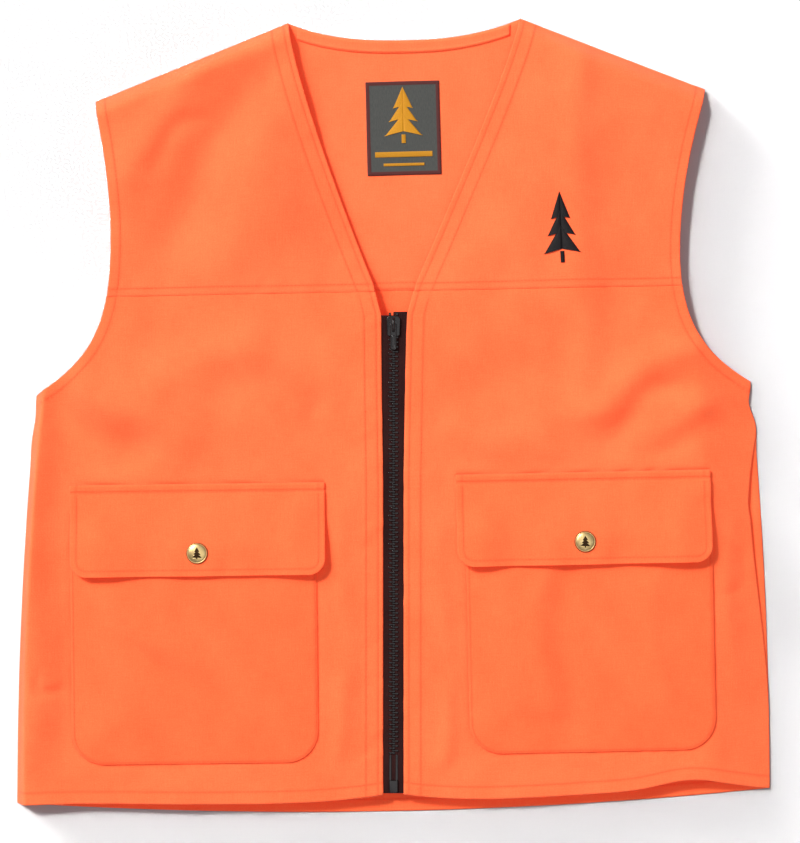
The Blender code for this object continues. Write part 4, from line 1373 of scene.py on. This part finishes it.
# ---------------------------------------------------------------- a plain pine, for the trim
# each tier's foot and tip as parts of the height, and its half width as a part of the width
PINE_TIERS = ((0.13, 0.52, 0.50), (0.38, 0.74, 0.38), (0.62, 1.0, 0.26))


def in_pine(u, v, height, width):
    """1 inside the pine, 0 outside, with a soft edge; its middle is at 0, 0."""
    t = v / height + 0.5
    made = np.zeros(np.shape(u))
    for low, high, wide in PINE_TIERS:
        half = wide * (high - t) / (high - low) * width
        inside = np.minimum(half - np.abs(u), np.minimum(t - low, high - t) * height)
        made = np.maximum(made, smooth(inside / 0.00018 + 0.5))
    inside = np.minimum(0.06 * width - np.abs(u), np.minimum(t, 0.2 - t) * height)
    return np.maximum(made, smooth(inside / 0.00018 + 0.5))


# ---------------------------------------------------------------- snaps
BRASS = brass()
ENGRAVED = 0.00022  # depth of the pine


def snap_cap(name):
    """Domed cap with a rolled rim, engraved with a pine."""
    low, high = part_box(f"snap_cap_{name}")
    centre = centre_of(f"snap_cap_{name}")
    radius = (high[0] - low[0]) / 2
    base = high[2] - 0.0024
    rings, spokes = 46, 96
    peak = high[2] - 0.00002
    r = np.linspace(0, 1, rings + 1)[1:]
    angle = np.linspace(0, 2 * np.pi, spokes, endpoint=False)
    u, v = np.outer(r, np.cos(angle)) * radius, np.outer(r, np.sin(angle)) * radius
    edge = np.clip((r - 0.80) / 0.20, 0, 1)
    dome = 0.0016 * (1 - (r / 1.02) ** 2) + 0.0004 - 0.0014 * edge**3
    rim = 0.00028 * bump(r - 0.90, 0.045) - 0.00016 * bump(r - 0.82, 0.03)
    height = np.repeat((base + 0.0004 + dome + rim)[:, None], spokes, 1)
    mark = in_pine(u, v, 0.0094, 0.0078)
    height = np.minimum(height - ENGRAVED * mark, peak)
    verts = [(*centre, min(base + 0.0024, peak) - ENGRAVED)]
    verts += [(centre[0] + a, centre[1] + b, h) for a, b, h in zip(u.ravel(), v.ravel(), height.ravel())]
    worn = 0.55 * bump(r - 0.82, 0.03) + 0.75 * smooth((r - 0.95) / 0.05)
    tone = [1.0, *np.maximum(mark, np.repeat(worn[:, None], spokes, 1)).ravel()]
    faces = [(0, 1 + k, 1 + (k + 1) % spokes) for k in range(spokes)]
    for i in range(rings - 1):
        faces += quads(1 + i * spokes, 1 + (i + 1) * spokes, spokes)
    # rolled edge and flat underside
    last = 1 + (rings - 1) * spokes
    for scale, z in ((1.0, base + 0.0002), (0.97, base), (0.2, base)):
        start = len(verts)
        for k in range(spokes):
            verts.append((centre[0] + u[-1, k] * scale, centre[1] + v[-1, k] * scale, z))
            tone.append(0.8)
        faces += quads(last, start, spokes)
        last = start
    faces.append(tuple(last + k for k in range(spokes)))
    cap = mesh_object(f"snap_cap_engraved_{name}", verts, faces, BRASS, seam=tone)
    settle(cap, f"flap_{name}", [f"snap_cap_{name}"])


def snap_insides():
    """The hidden rings and studs keep their shape and take the brass."""
    for name in SIDES:
        for piece in ("socket", "stud", "post"):
            node = frame["nodes"][f"snap_{piece}_{name}"]
            node.data.materials.clear()
            node.data.materials.append(BRASS)


# ---------------------------------------------------------------- label and emblem
def place_on(node, angle):
    """Centre of a flat CAD piece and its own axes."""
    c, s = math.cos(math.radians(angle)), math.sin(math.radians(angle))
    return centre_of(node), np.array((c, s)), np.array((-s, c))


def satin(name, strands, material, radius):
    """Embroidery: threads laid side by side, each an arched tube from one edge to the other."""
    verts, faces = [], []
    sides = 5
    marks = (0, 0.12, 0.5, 0.88, 1)
    for start, end, rise in strands:
        start, end = np.array(start), np.array(end)
        forward = end - start
        size = np.linalg.norm(forward)
        if size < 1e-5:
            continue
        forward /= size
        across = np.cross((0, 0, 1), forward)
        across /= np.linalg.norm(across)
        faces += tube_faces(len(verts), len(marks), sides)
        for mark in marks:
            lift = rise * math.sin(math.pi * mark) ** 0.6 if 0 < mark < 1 else 0
            centre = start + forward * size * mark + np.array((0, 0, lift))
            for k in range(sides):
                angle = 2 * math.pi * k / sides
                spoke = across * math.cos(angle) + np.array((0, 0, 1)) * math.sin(angle)
                verts.append(centre + radius * spoke)
    return mesh_object(name, verts, faces, material)


def pine_strands(centre, ux, uy, z, width, height, gap, rise):
    """Satin threads of a pine: each tier's boughs slope down from a middle line to both sides."""
    made = []
    for low, high, wide in PINE_TIERS:
        tall = (high - low) * height
        count = int(tall / gap)
        for i in range(count + 1):
            t = i / count
            half = wide * (1 - t) * width
            drop = 0.30 * half
            v = (low - 0.5) * height + t * tall
            for side in (-1, 1):
                first = centre + uy * (v + drop * 0.8)
                last = centre + ux * side * half + uy * max(v - drop * 0.2, (low - 0.5) * height)
                made.append(((*first, z), (*last, z), rise))
    count = int(0.16 * height / gap)
    for i in range(count):
        v = -0.5 * height + i * gap
        a, b = centre - ux * 0.055 * width + uy * v, centre + ux * 0.055 * width + uy * v
        made.append(((*a, z), (*b, z), rise))
    return made


def emblem():
    """A black embroidered pine on the left chest."""
    black = thread("emblem_thread", (20, 14, 16), (9, 6, 8), 0.55)
    centre, ux, uy = place_on("chest_emblem", 3.0)
    flat = pine_strands(centre, ux, uy, 0, 0.0285, 0.0550, 0.00040, 0.00055)
    heights = chest_height(np.array([(start[:2], end[:2]) for start, end, rise in flat])) + 0.0004
    strands = []
    for (start, end, rise), (low, high) in zip(flat, heights):
        strands.append(((*start[:2], low), (*end[:2], high), rise))
    made = satin("emblem_embroidery", strands, black, 0.00026)
    settle(made, replaces=["chest_emblem"])


def chest_height(points):
    """Top of the left front at points as laid."""
    x, y = points[..., 0], points[..., 1]
    cut = np.stack([x - LEAN * y * y, y - SKEW * x], -1)
    return front_under(cut, 1) + CLOTH - SINK


def across_label(field, count):
    """Places from -1 to 1, close together in the border."""
    border = np.linspace(field + 0.004, 1, 9)[1:]
    return np.concatenate([-border[::-1], np.linspace(-field, field, count), border])


LABEL_SIZE = (0.0573, 0.0730)
LABEL_BORDER = 0.0027
LABEL_GAP = 0.00042  # between its threads
LABEL_BARS = ((-0.0205, 0.0225, 0.0042), (-0.0285, 0.0160, 0.0022))  # middle, half length, height


def label_weave():
    """Coarse weave with flecks, maroon in the border."""
    m = Shader("label_weave", (58, 60, 58), 0.7, Sheen_Weight=0.08, Sheen_Roughness=0.4)
    where = m.axes(1 / 2400)
    rows = m.times(m.sine(where["X"], 2 * math.pi), m.sine(where["Y"], 2 * math.pi))
    m.bumped(m.total(rows, m.noise((2000, 400, 1), 2)), 0.00006)
    fleck = m.total(m.times(rows, 0.25), m.noise((1500, 300, 1), 3, strength=0.7), 0.45)
    field = m.tint((50, 52, 50), m.share(fleck), (72, 73, 69))
    m.set(Base_Color=m.tint(field, m.seam(), (74, 15, 12)))
    return m.material


def label():
    """Woven neck label with a maroon border, a pine and two plain bars."""
    centre, ux, uy = place_on("neck_label", 1.5)
    wide, tall = LABEL_SIZE
    u = wide / 2 * across_label(0.90, 44)
    v = tall / 2 * across_label(0.92, 54)
    plan = np.stack(np.meshgrid(u, v), -1)
    inside = np.minimum(wide / 2 - np.abs(plan[..., 0]), tall / 2 - np.abs(plan[..., 1]))
    waves = 0.00018 * swell(plan, (90, 0, 1), (0, 70, 0))
    high = CLOTH + 0.0007 + 0.0003 * rounded(inside / 0.0008) + waves
    high = high + 0.0002 * smooth((0.0026 - inside) / 0.0006)
    world = centre + plan[..., :1] * ux + plan[..., 1:] * uy
    border = smooth((LABEL_BORDER - inside) / 0.0003)
    under = np.full(high.shape, CLOTH + 0.0002)
    weave = label_weave()
    made = sheet_mesh("neck_label_cloth", world, high, under, plan, weave, border)
    settle(made, replaces=["neck_label"])
    ochre = thread("label_thread", (204, 146, 34), (164, 104, 18), 0.5)
    z = CLOTH + 0.00105
    strands = pine_strands(centre + uy * 0.0105, ux, uy, z, 0.0300, 0.0440, LABEL_GAP, 0.00028)
    for middle, half, deep in LABEL_BARS:
        for i in range(int(2 * half / LABEL_GAP)):
            across = centre + ux * (-half + i * LABEL_GAP)
            a, b = across + uy * (middle - deep / 2), across + uy * (middle + deep / 2)
            strands.append(((*a, z), (*b, z), 0.0002))
    mark = satin("neck_label_embroidery", strands, ochre, 0.00024)
    settle(mark)


# ---------------------------------------------------------------- stage
LIGHT_DISTANCE = 12


def stage():
    bm = bmesh.new()
    bmesh.ops.create_grid(bm, x_segments=8, y_segments=8, size=4)
    mesh = bpy.data.meshes.new("floor")
    bm.to_mesh(mesh)
    bm.free()
    mesh.materials.append(floor_material())
    floor = put("floor", mesh)
    floor.location = (0, 0, -0.0003)


def area_light(name, direction, size, power, colour):
    """A soft box that shines on the vest from a direction."""
    data = bpy.data.lights.new(name, "AREA")
    data.shape = "SQUARE"
    data.size = size
    data.energy = power
    data.color = colour
    obj = put(name, data)
    direction = Vector(direction).normalized()
    obj.location = direction * LIGHT_DISTANCE
    obj.rotation_euler = direction.to_track_quat("Z", "Y").to_euler()
    return obj


def lights():
    area_light("key", (-0.62, 0.66, 1.05), 1.6, 1350, (1.0, 0.985, 0.96))
    area_light("window", (-0.70, 0.60, 0.72), 5.0, 900, (1.0, 0.99, 0.98))
    area_light("fill", (0.1, -0.1, 1.0), 8.0, 320, (0.97, 0.98, 1.0))
    # low and on the floor alone, for the wide drop shadow
    sweep = area_light("sweep", (-0.76, 0.62, 0.155), 3.0, 6900, (1.0, 0.99, 0.98))
    lit = bpy.data.collections.new("lit_by_the_sweep")
    lit.objects.link(bpy.data.objects["floor"])
    sweep.light_linking.receiver_collection = lit
    world = bpy.data.worlds.new("studio")
    world.use_nodes = True
    background = world.node_tree.nodes["Background"].inputs
    background["Color"].default_value = (0.93, 0.96, 1.0, 1)
    background["Strength"].default_value = 0.30
    bpy.context.scene.world = world
    bpy.context.scene.view_settings.view_transform = "Standard"


def camera():
    """Straight down from well above, as a catalogue photograph is taken."""
    data = bpy.data.cameras.new("camera")
    data.lens = 100
    data.sensor_width = 36
    data.clip_end = 20
    obj = put("camera", data)
    obj.location = (0.0051, -0.0054, 1.838)
    bpy.context.scene.camera = obj


# ---------------------------------------------------------------- the vest
camera()
stage()
lights()
backs()
for side_name, sign in SIDES.items():
    fronts(side_name, sign)
    pocket(side_name, sign)
    flap(side_name, sign)
    tape(side_name, sign)
    teeth(side_name, sign)
    snap_cap(side_name)
snap_insides()
top_stops()
zip_slider()
zip_pull()
zip_foot()
label()
emblem()
